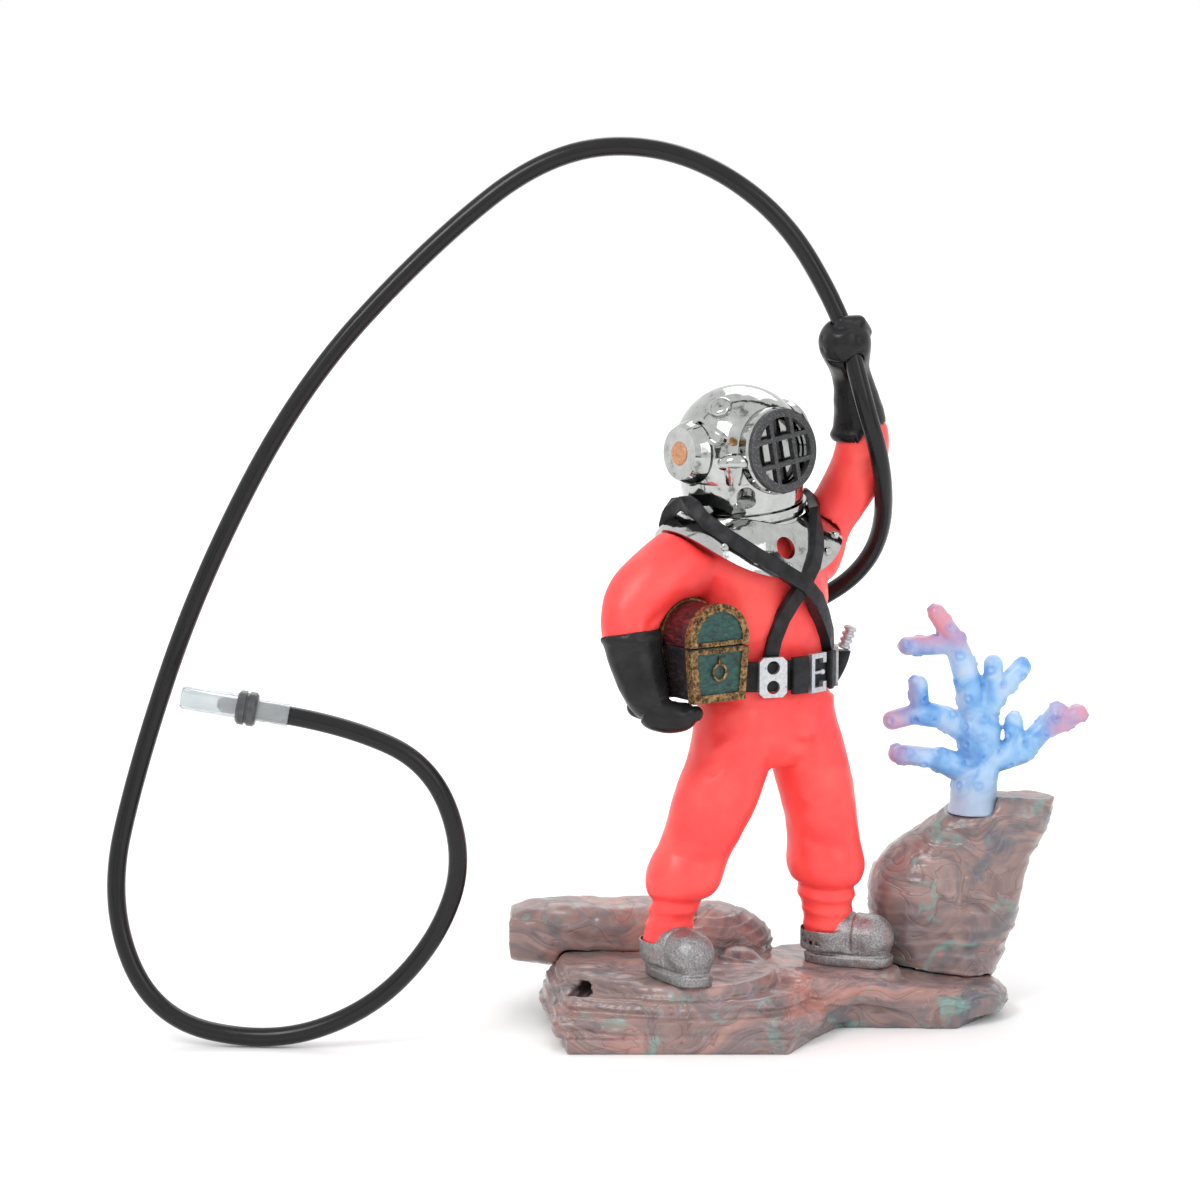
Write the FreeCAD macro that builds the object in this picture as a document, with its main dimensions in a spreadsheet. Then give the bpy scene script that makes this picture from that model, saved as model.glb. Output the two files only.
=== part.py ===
import FreeCAD, Part
import math
import os
import Sketcher
from FreeCAD import Placement, Rotation, Vector

# Bubbling diver: an aquarium ornament with a figure in a closed diving helmet.
#
# Millimetres, +Z up.  The origin is on the underside, below the diver's hips; X runs along the
# front edge of the base and Y runs to the back.  The diver faces 35 degrees to the right of -Y.

UP = Vector(0, 0, 1)
doc = FreeCAD.newDocument("bubbling_diver")

# ---------------------------------------------------------------- driving dimensions

SIZES = [
    ("diver_heading", -55, "direction the diver faces, degrees from +X"),
    ("helmet_heading", -52, "direction the helmet faces at rest"),
    ("hose_outside", 3.7, "air hose"),
    ("hose_bore", 2.4, "air hose"),
    ("running_gap", 0.08, "radial clearance of a turning or sliding fit"),
    ("seat_gap", 0.3, "gap under a turning face"),
    ("helmet_radius", 13.2, "copper bonnet, outside"),
    ("helmet_wall", 1.2, "bonnet wall"),
    ("helmet_rise", 10.5, "ball centre above the neck ring"),
    ("neck_radius", 12, "bonnet at the neck ring"),
    ("neck_bore", 9.4, "opening through the neck ring"),
    ("face_port_radius", 8.6, "round window frame"),
    ("face_port_reach", 12.6, "frame face from the ball centre"),
    ("face_port_tilt", 8, "window looks up from the neck plane, degrees"),
    ("grille_radius", 8.3, "window guard"),
    ("grille_opening", 6.6, "radius that holds the openings of the guard"),
    ("grille_depth", 1.3, "thickness of the guard"),
    ("grille_bar", 0.9, "bar width"),
    ("grille_pitch", 5.1, "distance between two bars"),
    ("side_port_lift", 9, "side ports look up from the neck plane, degrees"),
    ("side_port_radius", 5.6, "end face of a side port"),
    ("side_port_reach", 15, "end face from the ball centre"),
    ("side_disc_radius", 2.4, "copper disc in a side port"),
    ("waist_across", 13.8, "half width of the suit at the waist"),
    ("waist_along", 9.4, "half depth of the suit at the waist"),
    ("waist_level", 72.7, "middle of the belt"),
    ("belt_height", 6, "leather belt"),
    ("belt_thickness", 1.3, "leather belt"),
    ("strap_width", 2.9, "shoulder strap"),
    ("strap_thickness", 1.1, "shoulder strap"),
    ("weight_width", 5.8, "lead plate on the belt"),
    ("weight_height", 8, "lead plate on the belt"),
    ("weight_thickness", 1, "lead plate on the belt"),
    ("weight_hole", 1.35, "radius of a hole in a lead plate"),
    ("buckle_width", 4.6, "buckle frame"),
    ("buckle_height", 7.8, "buckle frame"),
    ("buckle_bar", 1, "buckle frame"),
    ("buckle_thickness", 1, "buckle frame"),
    ("chest_length", 20, "treasure chest"),
    ("chest_width", 13.4, "treasure chest at its seam"),
    ("chest_foot", 11.6, "treasure chest at its bottom"),
    ("chest_height", 10.4, "chest body, bottom to seam"),
    ("chest_level", 70, "underside of the chest"),
    ("lid_step", 1.3, "straight wall of the lid under its barrel"),
    ("band_width", 1.5, "gold band on the chest"),
    ("band_proud", 0.4, "gold band on the chest"),
    ("boot_length", 18.5, "boot sole"),
    ("boot_width", 9.2, "boot sole"),
    ("boot_height", 7.6, "sole to the top of the shaft"),
    ("ankle_well", 5.5, "radius of the well in a boot that takes the trouser leg"),
    ("peg_radius", 1.5, "locating peg under a boot"),
    ("peg_length", 4, "locating peg under a boot"),
    ("right_sole_level", 12.2, "rock under the right boot"),
    ("left_sole_level", 11.3, "rock under the left boot"),
    ("fist_radius", 5.2, "left hand closed round the hose"),
    ("coral_plug_radius", 3.2, "plug under the coral"),
    ("coral_plug_length", 7, "plug under the coral"),
    ("coral_level", 40.6, "seat of the coral on the boulder"),
    ("connector_radius", 3.35, "finger flange of the hose connector"),
    ("connector_length", 3.9, "finger flange of the hose connector"),
    ("sleeve_length", 6.2, "clear sleeve over the hose end"),
    ("sleeve_radius", 2.15, "clear sleeve over the hose end"),
    ("sleeve_overlap", 0.8, "hose inside the sleeve"),
    ("nozzle_root_radius", 2.7, "clear nozzle at the flange"),
    ("nozzle_tip_radius", 2.3, "clear nozzle at its open end"),
    ("nozzle_length", 11, "clear nozzle"),
    ("nozzle_land", 4.2, "straight end of the nozzle that takes an air line"),
    ("nozzle_bore", 1.6, "radius of the bore of the nozzle"),
]

# Places that the figure is built around: x, y, z.
PLACES = {
    "neck": (-10.5, 0.4, 106.1),
    "right_ankle": (-25.5, -9.8, 0),
    "left_ankle": (7.6, 4.0, 0),
    "fist": (9.5, 0.3, 137.4),
    "coral_root": (37.6, 12, 0),
    "inlet_root": (-15.0, 3.6, 80.5),
    "hose_start": (-15.5, 11.5, 80.5),
    "hose_end": (-100.0, -24.5, 67.4),
}


def make_sheet():
    """Spreadsheet with one row a value: note, number, and the alias that names it."""
    sheet = doc.addObject("Spreadsheet::Sheet", "dims")
    rows = list(SIZES)
    for name, coordinates in PLACES.items():
        for letter, number in zip("xyz", coordinates):
            rows.append((name + "_" + letter, number, name + ", " + letter))
    for row, (alias, number, note) in enumerate(rows, start=1):
        sheet.set("A%d" % row, note)
        sheet.set("B%d" % row, str(number))
        sheet.setAlias("B%d" % row, alias)
    doc.recompute()
    return sheet


sheet = make_sheet()
nodes = []


def size(alias):
    return float(getattr(sheet, alias))


def place(name):
    return Vector(size(name + "_x"), size(name + "_y"), size(name + "_z"))


def number(expression):
    """The value of an expression over the sheet, such as 'dims.hose_bore / 2'."""
    return float(sheet.evalExpression(expression))


# ---------------------------------------------------------------- document helpers

def keep(thing, label, placement=None):
    """Name a finished sub-part and remember it for the export."""
    thing.Label = label
    if placement is not None:
        thing.Placement = placement
    nodes.append(thing)
    return thing


def feature(label, shape, placement=None):
    thing = doc.addObject("Part::Feature", label)
    thing.Shape = shape
    return keep(thing, label, placement)


def primitive(kind, name, placement=None, **expressions):
    thing = doc.addObject("Part::" + kind, name)
    for key, expression in expressions.items():
        thing.setExpression(key, expression)
    if placement is not None:
        thing.Placement = placement
    return thing


def fused(name, *things):
    union = doc.addObject("Part::MultiFuse", name)
    union.Shapes = list(things)
    return union


def less(name, base, tool):
    cut = doc.addObject("Part::Cut", name)
    cut.Base = base
    cut.Tool = tool
    return cut


def body_with_sketch(label, plane):
    """A body and an empty sketch on one of its own origin planes."""
    body = doc.addObject("PartDesign::Body", label)
    sketch = body.newObject("Sketcher::SketchObject", label + "_sketch")
    origin = [item for item in body.Origin.OriginFeatures if item.Role == plane][0]
    sketch.AttachmentSupport = [(origin, "")]
    sketch.MapMode = "FlatFace"
    return body, sketch


def held_point(sketch, geometry, end, x, y):
    """Dimension one point of the sketch from the origin with two expressions."""
    for kind, expression in (("DistanceX", x), ("DistanceY", y)):
        index = sketch.addConstraint(
            Sketcher.Constraint(kind, -1, 1, geometry, end, number(expression))
        )
        name = "%s_%d_%d" % (kind, geometry, end)
        sketch.renameConstraint(index, name)
        sketch.setExpression("Constraints." + name, expression)


def add_outline(sketch, corners):
    """Closed polygon; each corner is a pair of expressions over the sheet."""
    points = [Vector(number(x), number(y), 0) for x, y in corners]
    first = sketch.GeometryCount
    count = len(points)
    for index in range(count):
        sketch.addGeometry(Part.LineSegment(points[index], points[(index + 1) % count]))
    for index in range(count):
        following = first + (index + 1) % count
        sketch.addConstraint(Sketcher.Constraint("Coincident", first + index, 2, following, 1))
    for index, (x, y) in enumerate(corners):
        held_point(sketch, first + index, 1, x, y)


def add_circle(sketch, x, y, radius):
    index = sketch.addGeometry(Part.Circle(Vector(number(x), number(y), 0), UP, number(radius)))
    held_point(sketch, index, 3, x, y)
    constraint = sketch.addConstraint(Sketcher.Constraint("Radius", index, number(radius)))
    name = "radius_%d" % index
    sketch.renameConstraint(constraint, name)
    sketch.setExpression("Constraints." + name, radius)


def turned(label, corners, placement):
    """A body turned about its own Z axis from a closed outline of (radius, height) pairs."""
    body, sketch = body_with_sketch(label, "XZ_Plane")
    add_outline(sketch, corners)
    turn = body.newObject("PartDesign::Revolution", label + "_turn")
    turn.Profile = sketch
    turn.ReferenceAxis = (sketch, ["V_Axis"])
    turn.Angle = 360
    return keep(body, label, placement)


def padded(label, corners, depth, placement, holes=(), plane="XY_Plane", midplane=False):
    """A body padded from a closed outline, with round holes (x, y, radius) through it."""
    body, sketch = body_with_sketch(label, plane)
    add_outline(sketch, corners)
    for x, y, radius in holes:
        add_circle(sketch, x, y, radius)
    pad = body.newObject("PartDesign::Pad", label + "_pad")
    pad.Profile = sketch
    pad.setExpression("Length", depth)
    pad.Midplane = midplane
    return keep(body, label, placement)


# ---------------------------------------------------------------- shape helpers

def facing(direction, upward=UP):
    """Rotation that turns local +Z to a direction, with local +Y as near upward as it can be."""
    outward = Vector(direction).normalize()
    side = upward.cross(outward)
    if side.Length < 1e-6:
        side = Vector(1, 0, 0)
    return Rotation(side, Vector(), outward, "ZXY")


def ring(centre, across, along, half_across, half_along, squareness=2.0, count=12):
    """Closed smooth wire: an ellipse at squareness 2, a rounded rectangle above it."""
    points = []
    for index in range(count):
        angle = 2 * math.pi * index / count
        cosine, sine = math.cos(angle), math.sin(angle)
        reach = (abs(cosine) ** squareness + abs(sine) ** squareness) ** (-1.0 / squareness)
        points.append(
            centre + across * (half_across * cosine * reach) + along * (half_along * sine * reach)
        )
    curve = Part.BSplineCurve()
    curve.interpolate(Points=points, PeriodicFlag=True)
    return Part.Wire([curve.toShape()])


def limb(stations):
    """Solid loft through round stations: (x, y, z, radius), squared to the run of the limb."""
    centres = [Vector(*station[:3]) for station in stations]
    wires = []
    across = None
    for index, station in enumerate(stations):
        before = centres[max(index - 1, 0)]
        after = centres[min(index + 1, len(centres) - 1)]
        tangent = (after - before).normalize()
        if across is None:
            across = tangent.cross(Vector(0, 1, 0)).normalize()
        across = (across - tangent * across.dot(tangent)).normalize()
        wires.append(ring(centres[index], across, tangent.cross(across), station[3], station[3]))
    return Part.makeLoft(wires, True, False)


def capsule(start, end, start_radius, end_radius):
    """Tapered bar with a ball at each end, turned in one piece."""
    start, end = Vector(*start), Vector(*end)
    length = (end - start).Length
    sine = (start_radius - end_radius) / length
    cosine = math.sqrt(1 - sine * sine)

    def on_ball(height, radius, across, up):
        return Vector(radius * across, 0, height + radius * up)

    low, high = on_ball(0, start_radius, 0, -1), on_ball(length, end_radius, 0, 1)
    low_tangent = on_ball(0, start_radius, cosine, sine)
    high_tangent = on_ball(length, end_radius, cosine, sine)
    low_middle = on_ball(0, start_radius, math.sqrt((1 + sine) / 2), -math.sqrt((1 - sine) / 2))
    high_middle = on_ball(length, end_radius, math.sqrt((1 - sine) / 2), math.sqrt((1 + sine) / 2))
    edges = [
        Part.Arc(low, low_middle, low_tangent).toShape(),
        Part.LineSegment(low_tangent, high_tangent).toShape(),
        Part.Arc(high_tangent, high_middle, high).toShape(),
        Part.LineSegment(high, low).toShape(),
    ]
    bar = Part.Face(Part.Wire(edges)).revolve(Vector(), UP, 360)
    bar.Placement = Placement(start, facing(end - start))
    return bar


def union(shapes):
    """One solid of many that overlap."""
    whole = shapes[0].fuse(shapes[1:])
    if not whole.isValid():
        raise RuntimeError("a union of %d solids is not valid" % len(shapes))
    return whole


def without(shape, tools):
    """Cut a shape by several others, one at a time, and keep its largest piece."""
    for index, tool in enumerate(tools):
        before = shape.Volume
        shape = shape.cut(tool)
        if not shape.isValid() or shape.Volume > before * 1.0001:
            raise RuntimeError(
                "cut %d of %d went wrong: %.2f to %.2f mm3"
                % (index + 1, len(tools), before, shape.Volume)
            )
    return largest(shape)


def moved(shape, placement):
    """A copy of a shape carried along by a placement, on top of the one it has."""
    copy = shape.copy()
    copy.Placement = placement.multiply(shape.Placement)
    return copy


def largest(shape):
    """The biggest solid of a shape, without the crumbs that a cut may leave."""
    return max(shape.Solids, key=lambda solid: solid.Volume)


# ---------------------------------------------------------------- frames of reference

def heading(alias):
    angle = math.radians(size(alias))
    return Vector(math.cos(angle), math.sin(angle), 0)


FRONT = heading("diver_heading")
LEFT = UP.cross(FRONT)
NECK = place("neck")
NECK_AXIS = (FRONT * 0.07 - LEFT * 0.139 + UP * 0.988).normalize()
HELMET_FRONT = heading("helmet_heading")
HELMET_TURN = Rotation(HELMET_FRONT, Vector(), NECK_AXIS, "ZXY")
HELMET = Placement(NECK, HELMET_TURN)
BALL = HELMET.multVec(Vector(0, 0, size("helmet_rise")))


def on_helmet(azimuth, elevation, distance, roll=0):
    """Placement at a distance from the ball centre, local +Z outward; azimuth + is left."""
    turn, lift = math.radians(azimuth), math.radians(elevation)
    local = Vector(
        math.cos(lift) * math.cos(turn), math.cos(lift) * math.sin(turn), math.sin(lift)
    )
    outward = HELMET_TURN.multVec(local)
    rotation = facing(outward, NECK_AXIS).multiply(Rotation(UP, roll))
    return Placement(BALL + outward * distance, rotation)


# Suit sections from waist to neck: level, centre x, centre y, half across, half along.
SUIT = [
    (72.7, -5.9, 0.0, 13.3, 8.9),
    (76.4, -5.95, -0.05, 13.4, 9.0),
    (80.0, -6.3, -0.4, 14.2, 9.6),
    (88.0, -6.9, -1.0, 15.2, 10.2),
    (95.0, -8.2, -1.4, 16.0, 10.2),
    (100.0, -9.4, -0.9, 14.0, 9.0),
    (103.0, -10.2, -0.2, 10.2, 8.2),
]
# Breastplate sections, outside, from its rim to the neck.
PLATE = [
    (90.0, -7.2, -1.1, 22.3, 13.2),
    (95.0, -8.3, -1.4, 23.0, 13.4),
    (99.0, -9.3, -1.0, 22.2, 12.8),
    (102.0, -10.0, -0.3, 18.8, 12.2),
    (104.2, -10.4, 0.2, 12.6, 12.2),
]


def section_at(table, level):
    """Centre and half sizes of a lofted piece at a level, by straight interpolation."""
    table = sorted(table)
    level = min(max(level, table[0][0]), table[-1][0])
    for low, high in zip(table, table[1:]):
        if level <= high[0]:
            share = (level - low[0]) / (high[0] - low[0])
            mixed = [a + (b - a) * share for a, b in zip(low, high)]
            return Vector(mixed[1], mixed[2], level), mixed[3], mixed[4]


def stacked(table, squareness=2.0, growth=0.0):
    """Solid loft through level sections, each turned to the diver's heading."""
    wires = []
    for level, x, y, across, along in table:
        centre = Vector(x, y, level)
        wires.append(ring(centre, LEFT, FRONT, across + growth, along + growth, squareness))
    return Part.makeLoft(wires, True, False)


def on_trunk(table, side, level, front=True, proud=0.0):
    """Point and outward normal on a stacked piece, side millimetres to the diver's left."""
    centre, across, along = section_at(table, level)
    across, along = across + proud, along + proud
    share = max(-0.999, min(0.999, side / across))
    depth = along * math.sqrt(1 - share * share) * (1 if front else -1)
    point = centre + LEFT * side + FRONT * depth
    normal = LEFT * (side / across ** 2) + FRONT * (depth / along ** 2)
    return point, normal.normalize()


# ---------------------------------------------------------------- rock base, boulder, coral

def layer(outline, levels, fall=0.0):
    """Rock stratum: a smooth plan outline, grown or shrunk about its middle at each level.

    The fall is how much each level drops a millimetre further to the right.
    """
    middle_x = sum(x for x, y in outline) / len(outline)
    middle_y = sum(y for x, y in outline) / len(outline)
    wires = []
    for level, scale in levels:
        points = [
            Vector(
                middle_x + (x - middle_x) * scale, middle_y + (y - middle_y) * scale,
                level - fall * (x - middle_x) * scale,
            )
            for x, y in outline
        ]
        curve = Part.BSplineCurve()
        curve.interpolate(Points=points, PeriodicFlag=True)
        wires.append(Part.Wire([curve.toShape()]))
    return Part.makeLoft(wires, True, True)


PLINTH = [
    (-45.5, -26), (-2, -26), (3.5, -15), (9, -6), (22, -6.5), (33, -7), (40, 3), (40, 16),
    (30, 25), (-6, 28), (-44, 27), (-49, 10), (-47.5, -10),
]
LOWER = [
    (-46.5, -23.5), (-30, -25.2), (-12, -25), (0, -22), (6, -13), (7, 4), (4, 20), (-10, 27.5),
    (-40, 27.5), (-49, 14), (-51, -1), (-48.5, -15),
]
MIDDLE = [
    (-44, -19), (-28, -22.8), (-12, -22.6), (-2, -18), (4, -8), (4, 6), (1, 18), (-12, 26),
    (-38, 26), (-48, 14), (-50, 0), (-47, -12),
]
UPPER = [
    (-37, -16.5), (-26, -20.8), (-14, -20), (-6, -14), (-2.5, -4), (-4, 8), (-10, 20),
    (-24, 25), (-40, 24), (-47, 12), (-48, 0), (-44.5, -10),
]
LEDGE_FOOT = [
    (2, -13), (9, -8.5), (16, -5.5), (24, -7.2), (33, -7.2), (40.5, 0), (42, 9), (38, 19),
    (26, 25), (8, 25), (-4, 14), (-4, -4),
]
LEDGE_TOP = [
    (0, -10.5), (7, -11.2), (15, -8), (24, -8), (34, -6.5), (42.5, -1), (44.8, 7), (41, 18),
    (27, 25), (8, 24), (-5, 13), (-6, -2),
]


MOUND = [
    (0.5, -1.5), (6, -4.5), (13, -5.6), (20, -4.4), (22, 0.2), (18, 6.5), (9, 10.5), (1.5, 9.5),
]


def make_rock_base(boots):
    flat = [Vector(x, y, 0) for x, y in PLINTH]
    plinth = Part.Face(Part.makePolygon(flat + flat[:1])).extrude(UP * 3)
    strata = [
        plinth,
        layer(LOWER, [(2.4, 0.985), (4.4, 1.0), (6.6, 0.975)]),
        layer(MIDDLE, [(6.0, 0.985), (7.8, 1.0), (9.6, 0.97)]),
        layer(UPPER, [(8.8, 0.98), (10.6, 1.0), (12.2, 0.94)]),
        layer(LEDGE_FOOT, [(1.5, 0.98), (3.2, 1.0), (5.4, 0.97)]),
        layer(LEDGE_TOP, [(4.4, 0.95), (6.6, 1.0), (8.4, 0.98), (9.6, 0.9)], 0.13),
        layer(MOUND, [(7.4, 1.06), (10.0, 1.03), (11.3, 0.95)]),
        Part.makeSphere(5.2, Vector(-10.6, 2.5, 9.6)),
        limb([(-20, 17, 10, 9.4), (-15, 16, 12, 9), (-10, 14.5, 11, 8.2), (-6, 13, 9, 5.6)]),
    ]
    rock = union(strata)
    socket = size("peg_radius") + size("running_gap")
    for side in ("right", "left"):
        foot = place(side + "_ankle")
        foot.z = size(side + "_sole_level")
        rock = rock.cut(
            Part.makeCylinder(socket, size("peg_length") + 0.5, foot, Vector(0, 0, -1))
        )
    notch = Part.makeCylinder(2.1, 14, Vector(-43.6, -16.5, 8.6), Vector(0.35, 1, 0.12))
    return without(rock, [notch] + boots)


def make_rear_slab(base):
    """Flat stone that lies across the back left of the base and overhangs its end."""
    stations = [
        (-57.6, 14.0, 5.0), (-52, 15.4, 6.2), (-40, 16.4, 6.4), (-27, 17.0, 6.3), (-17.5, 17.6, 5.4),
    ]
    wires = []
    for x, y, half in stations:
        centre = Vector(x, y, 14.8)
        wires.append(ring(centre, Vector(0, 1, 0), UP, half + 2.0, half, 3.4))
    return largest(Part.makeLoft(wires, True, False).cut(base))


# Boulder sections: level, centre x, centre y, half width, half depth.
BOULDER = [
    (5.0, 31.4, 15.5, 10.6, 9.5),
    (12.0, 31.6, 15.8, 13.2, 10.8),
    (20.0, 32.0, 16.2, 15.6, 11.4),
    (28.0, 33.6, 16.2, 15.8, 10.8),
    (33.0, 36.2, 16.0, 14.6, 9.8),
    (38.0, 40.4, 15.4, 12.6, 8.8),
    (41.5, 43.6, 14.8, 10.8, 7.4),
    (43.4, 48.6, 14.4, 5.0, 4.2),
]


def make_boulder(base):
    wires = []
    for level, x, y, half_width, half_depth in BOULDER:
        centre = Vector(x, y, level)
        wires.append(ring(centre, Vector(1, 0, 0), Vector(0, 1, 0), half_width, half_depth, 2.5))
    stone = Part.makeLoft(wires, True, False).cut(base)
    root = place("coral_root")
    root.z = size("coral_level")
    seat = Part.makeCylinder(5.8, 8, root)
    socket_radius = size("coral_plug_radius") + size("running_gap")
    socket = Part.makeCylinder(socket_radius, size("coral_plug_length") + 0.4, root, Vector(0, 0, -1))
    return largest(stone.cut(seat).cut(socket))


# Coral twigs: start, end, radius at each.
CORAL = [
    ((37.6, 12, 44.5), (38.4, 12, 50), 4.8, 4.4),
    ((38.4, 12, 50), (38.9, 12, 58), 4.2, 4.2),
    ((38.9, 12, 58), (36.2, 12.2, 68), 3.8, 2.9),
    ((36.2, 12.2, 68), (33.4, 12.4, 76.5), 2.8, 2.3),
    ((33.4, 12.4, 76.5), (29.6, 12.0, 82.0), 2.2, 2.0),
    ((33.0, 12.4, 75.5), (23.6, 11.2, 75.4), 2.0, 2.0),
    ((38.6, 12, 60), (41.4, 11.4, 64.5), 2.8, 2.6),
    ((41.4, 11.4, 64.5), (41.2, 11, 71.6), 2.2, 2.0),
    ((41.4, 11.4, 64.5), (47.2, 12.8, 70.6), 2.2, 2.1),
    ((37.6, 12, 56.5), (31.6, 12.6, 60.4), 2.9, 2.5),
    ((31.6, 12.6, 60.4), (26.6, 12, 61.4), 2.4, 2.6),
    ((26.6, 12, 61.4), (26.0, 11.8, 67.2), 2.0, 2.0),
    ((26.6, 12, 61.4), (20.8, 11.4, 60.0), 2.0, 2.0),
    ((36.8, 12, 49), (30.6, 10.8, 52.0), 3.1, 2.6),
    ((30.6, 10.8, 52.0), (21.8, 10.4, 53.2), 2.2, 2.0),
    ((39.0, 12, 51.5), (47.4, 12.6, 53.4), 3.4, 2.8),
    ((46.2, 12.4, 53.2), (45.6, 11.6, 59.8), 2.2, 2.0),
    ((47.4, 12.6, 53.4), (51.6, 12.8, 57.6), 2.5, 2.3),
    ((51.6, 12.8, 57.6), (54.8, 12.6, 61.4), 2.2, 2.2),
    ((51.6, 12.8, 57.6), (59.0, 12.2, 61.2), 2.1, 2.0),
    ((38.8, 13.0, 54), (37.2, 19.0, 61.5), 2.6, 2.0),
]


def make_coral():
    root = place("coral_root")
    root.z = size("coral_level")
    above = root + UP * 0.05
    skirt = limb([
        (above.x, above.y, above.z, 5.4), (above.x, above.y, above.z + 2, 4.9),
        (above.x + 0.2, above.y, above.z + 5, 4.2),
    ])
    plug = Part.makeCylinder(size("coral_plug_radius"), size("coral_plug_length"), above, Vector(0, 0, -1))
    pieces = [skirt, plug]
    for start, end, thick, thin in CORAL:
        pieces.append(capsule(start, end, thick, thin))
    return union(pieces)


# ---------------------------------------------------------------- figure

RIGHT_LEG = [
    (-11.0, -3.6, 65, 8.4), (-12.8, -5.2, 57, 8.3), (-15.8, -7.4, 48.5, 8.0),
    (-18.9, -9.0, 41, 7.4), (-21.4, -9.6, 35, 6.9), (-23.3, -10, 30.6, 6.6),
    (-24.2, -10.0, 27.6, 5.2), (-25.1, -9.9, 22, 4.6), (-25.5, -9.8, 17.2, 4.4),
]
LEFT_LEG = [
    (0.4, 3.9, 65, 8.4), (2.6, 3.7, 56, 7.9), (4.9, 3.5, 47, 7.6), (6.3, 3.7, 38, 7.3),
    (6.9, 3.9, 31, 7.2), (7.2, 4.0, 27.4, 6.3), (7.3, 4.0, 24.4, 5.3), (7.5, 4.0, 20, 4.9),
    (7.6, 4.0, 16.2, 4.6),
]
HIPS = [
    (53.5, -4.8, 0.2, 9.5, 6.5),
    (57.0, -4.9, 0.3, 13.2, 8.8),
    (63.0, -5.0, 0.3, 15.0, 10.0),
    (68.0, -5.6, 0.1, 14.2, 9.6),
    (72.65, -5.9, 0.0, 13.8, 9.4),
]
RIGHT_ARM = [
    (-17.5, -6.4, 96.0, 6.8), (-23.5, -9.6, 94.6, 7.3), (-29.0, -13.2, 90.6, 7.1),
    (-32.6, -16.0, 85.6, 6.5), (-32.9, -17.6, 81.0, 5.5), (-32.4, -18.2, 78.6, 5.1),
]
LEFT_ARM = [
    (1.8, 6.6, 92.5, 6.0), (5.4, 7.4, 98.6, 5.9), (8.9, 7.9, 104.8, 5.4), (12.0, 8.1, 110.2, 5.6),
    (13.6, 7.8, 115.4, 5.6), (13.4, 7.4, 121.6, 4.8),
]


def make_trousers():
    return union([stacked(HIPS), limb(RIGHT_LEG), limb(LEFT_LEG)])


def make_boot(side, toe_direction, leg):
    """Low boot with a big toe cap and a well for the ankle, on a locating peg."""
    foot = place(side + "_ankle")
    foot.z = size(side + "_sole_level")
    forward = Vector(*toe_direction).normalize()
    sideways = UP.cross(forward)
    half_length = size("boot_length") / 2
    half_width = size("boot_width") / 2
    reach = half_length - 5.0
    rings = []
    for rise, lengthwise, widthwise, shift in (
        (0.0, 0.97, 0.97, 1.0), (2.2, 1.0, 1.0, 1.0), (2.5, 0.95, 0.94, 1.0), (4.6, 0.93, 0.96, 0.95),
    ):
        centre = foot + forward * (reach * shift) + UP * rise
        rings.append(
            ring(centre, forward, sideways, half_length * lengthwise, half_width * widthwise, 2.8)
        )
    sole = Part.makeLoft(rings, True, True)
    shaft = Part.makeLoft(
        [
            ring(foot + forward * 0.6 + UP * 3, forward, sideways, 6.4, half_width + 1.0),
            ring(foot + forward * 0.4 + UP * size("boot_height"), forward, sideways, 6.2, 6.0),
        ],
        True, True,
    )
    toe_centre = foot + forward * (2 * half_length - 5.0 - half_width) + UP * 5.8
    toe = Part.makeSphere(half_width + 0.15, toe_centre)
    bridge = capsule(foot + forward * 4.2 + UP * 6.4, toe_centre, 3.6, half_width - 0.5)
    peg = Part.makeCylinder(size("peg_radius"), size("peg_length"), foot, Vector(0, 0, -1))
    below = Part.makeBox(60, 60, 20, foot - Vector(30, 30, 20))
    ankle, end = [Vector(*station[:3]) for station in leg[-2:]]
    upward = (ankle - end).normalize()
    well = Part.makeCylinder(size("ankle_well"), 14, end - upward * 0.7, upward)
    boot = without(union([sole, shaft, toe, bridge]), [below, well])
    return union([boot, peg])


def make_right_glove(chest_block, sleeve):
    """Gauntlet down the side of the chest, and a hand that curls under it."""
    gauntlet = limb([
        (-32.9, -17.6, 82.2, 5.9), (-32.2, -18.2, 78.5, 5.5), (-31.0, -19.0, 74.0, 5.0),
        (-29.6, -19.6, 69.8, 4.3), (-28.6, -20.0, 67.2, 3.0),
    ])
    fingers = limb([
        (-29.6, -20.2, 68.2, 3.2), (-26.6, -20.6, 66.6, 3.4), (-23.6, -20.8, 66.4, 3.0),
        (-21.0, -20.9, 67.2, 2.0),
    ])
    return without(union([gauntlet, fingers]), [chest_block, sleeve])


def make_left_glove(sleeve, hose_core):
    """Gauntlet up from the wrist that swells into a fist closed round the hose."""
    fist = place("fist")
    grip = size("fist_radius")
    hand = limb([
        (13.4, 7.6, 118.4, 5.5), (13.1, 7.3, 121.5, 5.3), (12.3, 6.6, 126.5, 4.6),
        (11.2, 5.2, 131.0, 3.9), (10.4, 2.9, 134.2, 4.3), (fist.x, fist.y, fist.z, grip),
        (8.9, -1.4, 139.8, 4.6), (8.5, -2.5, 141.4, 2.8),
    ])
    return without(hand, [sleeve, hose_core])


# ---------------------------------------------------------------- breastplate and helmet

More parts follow.
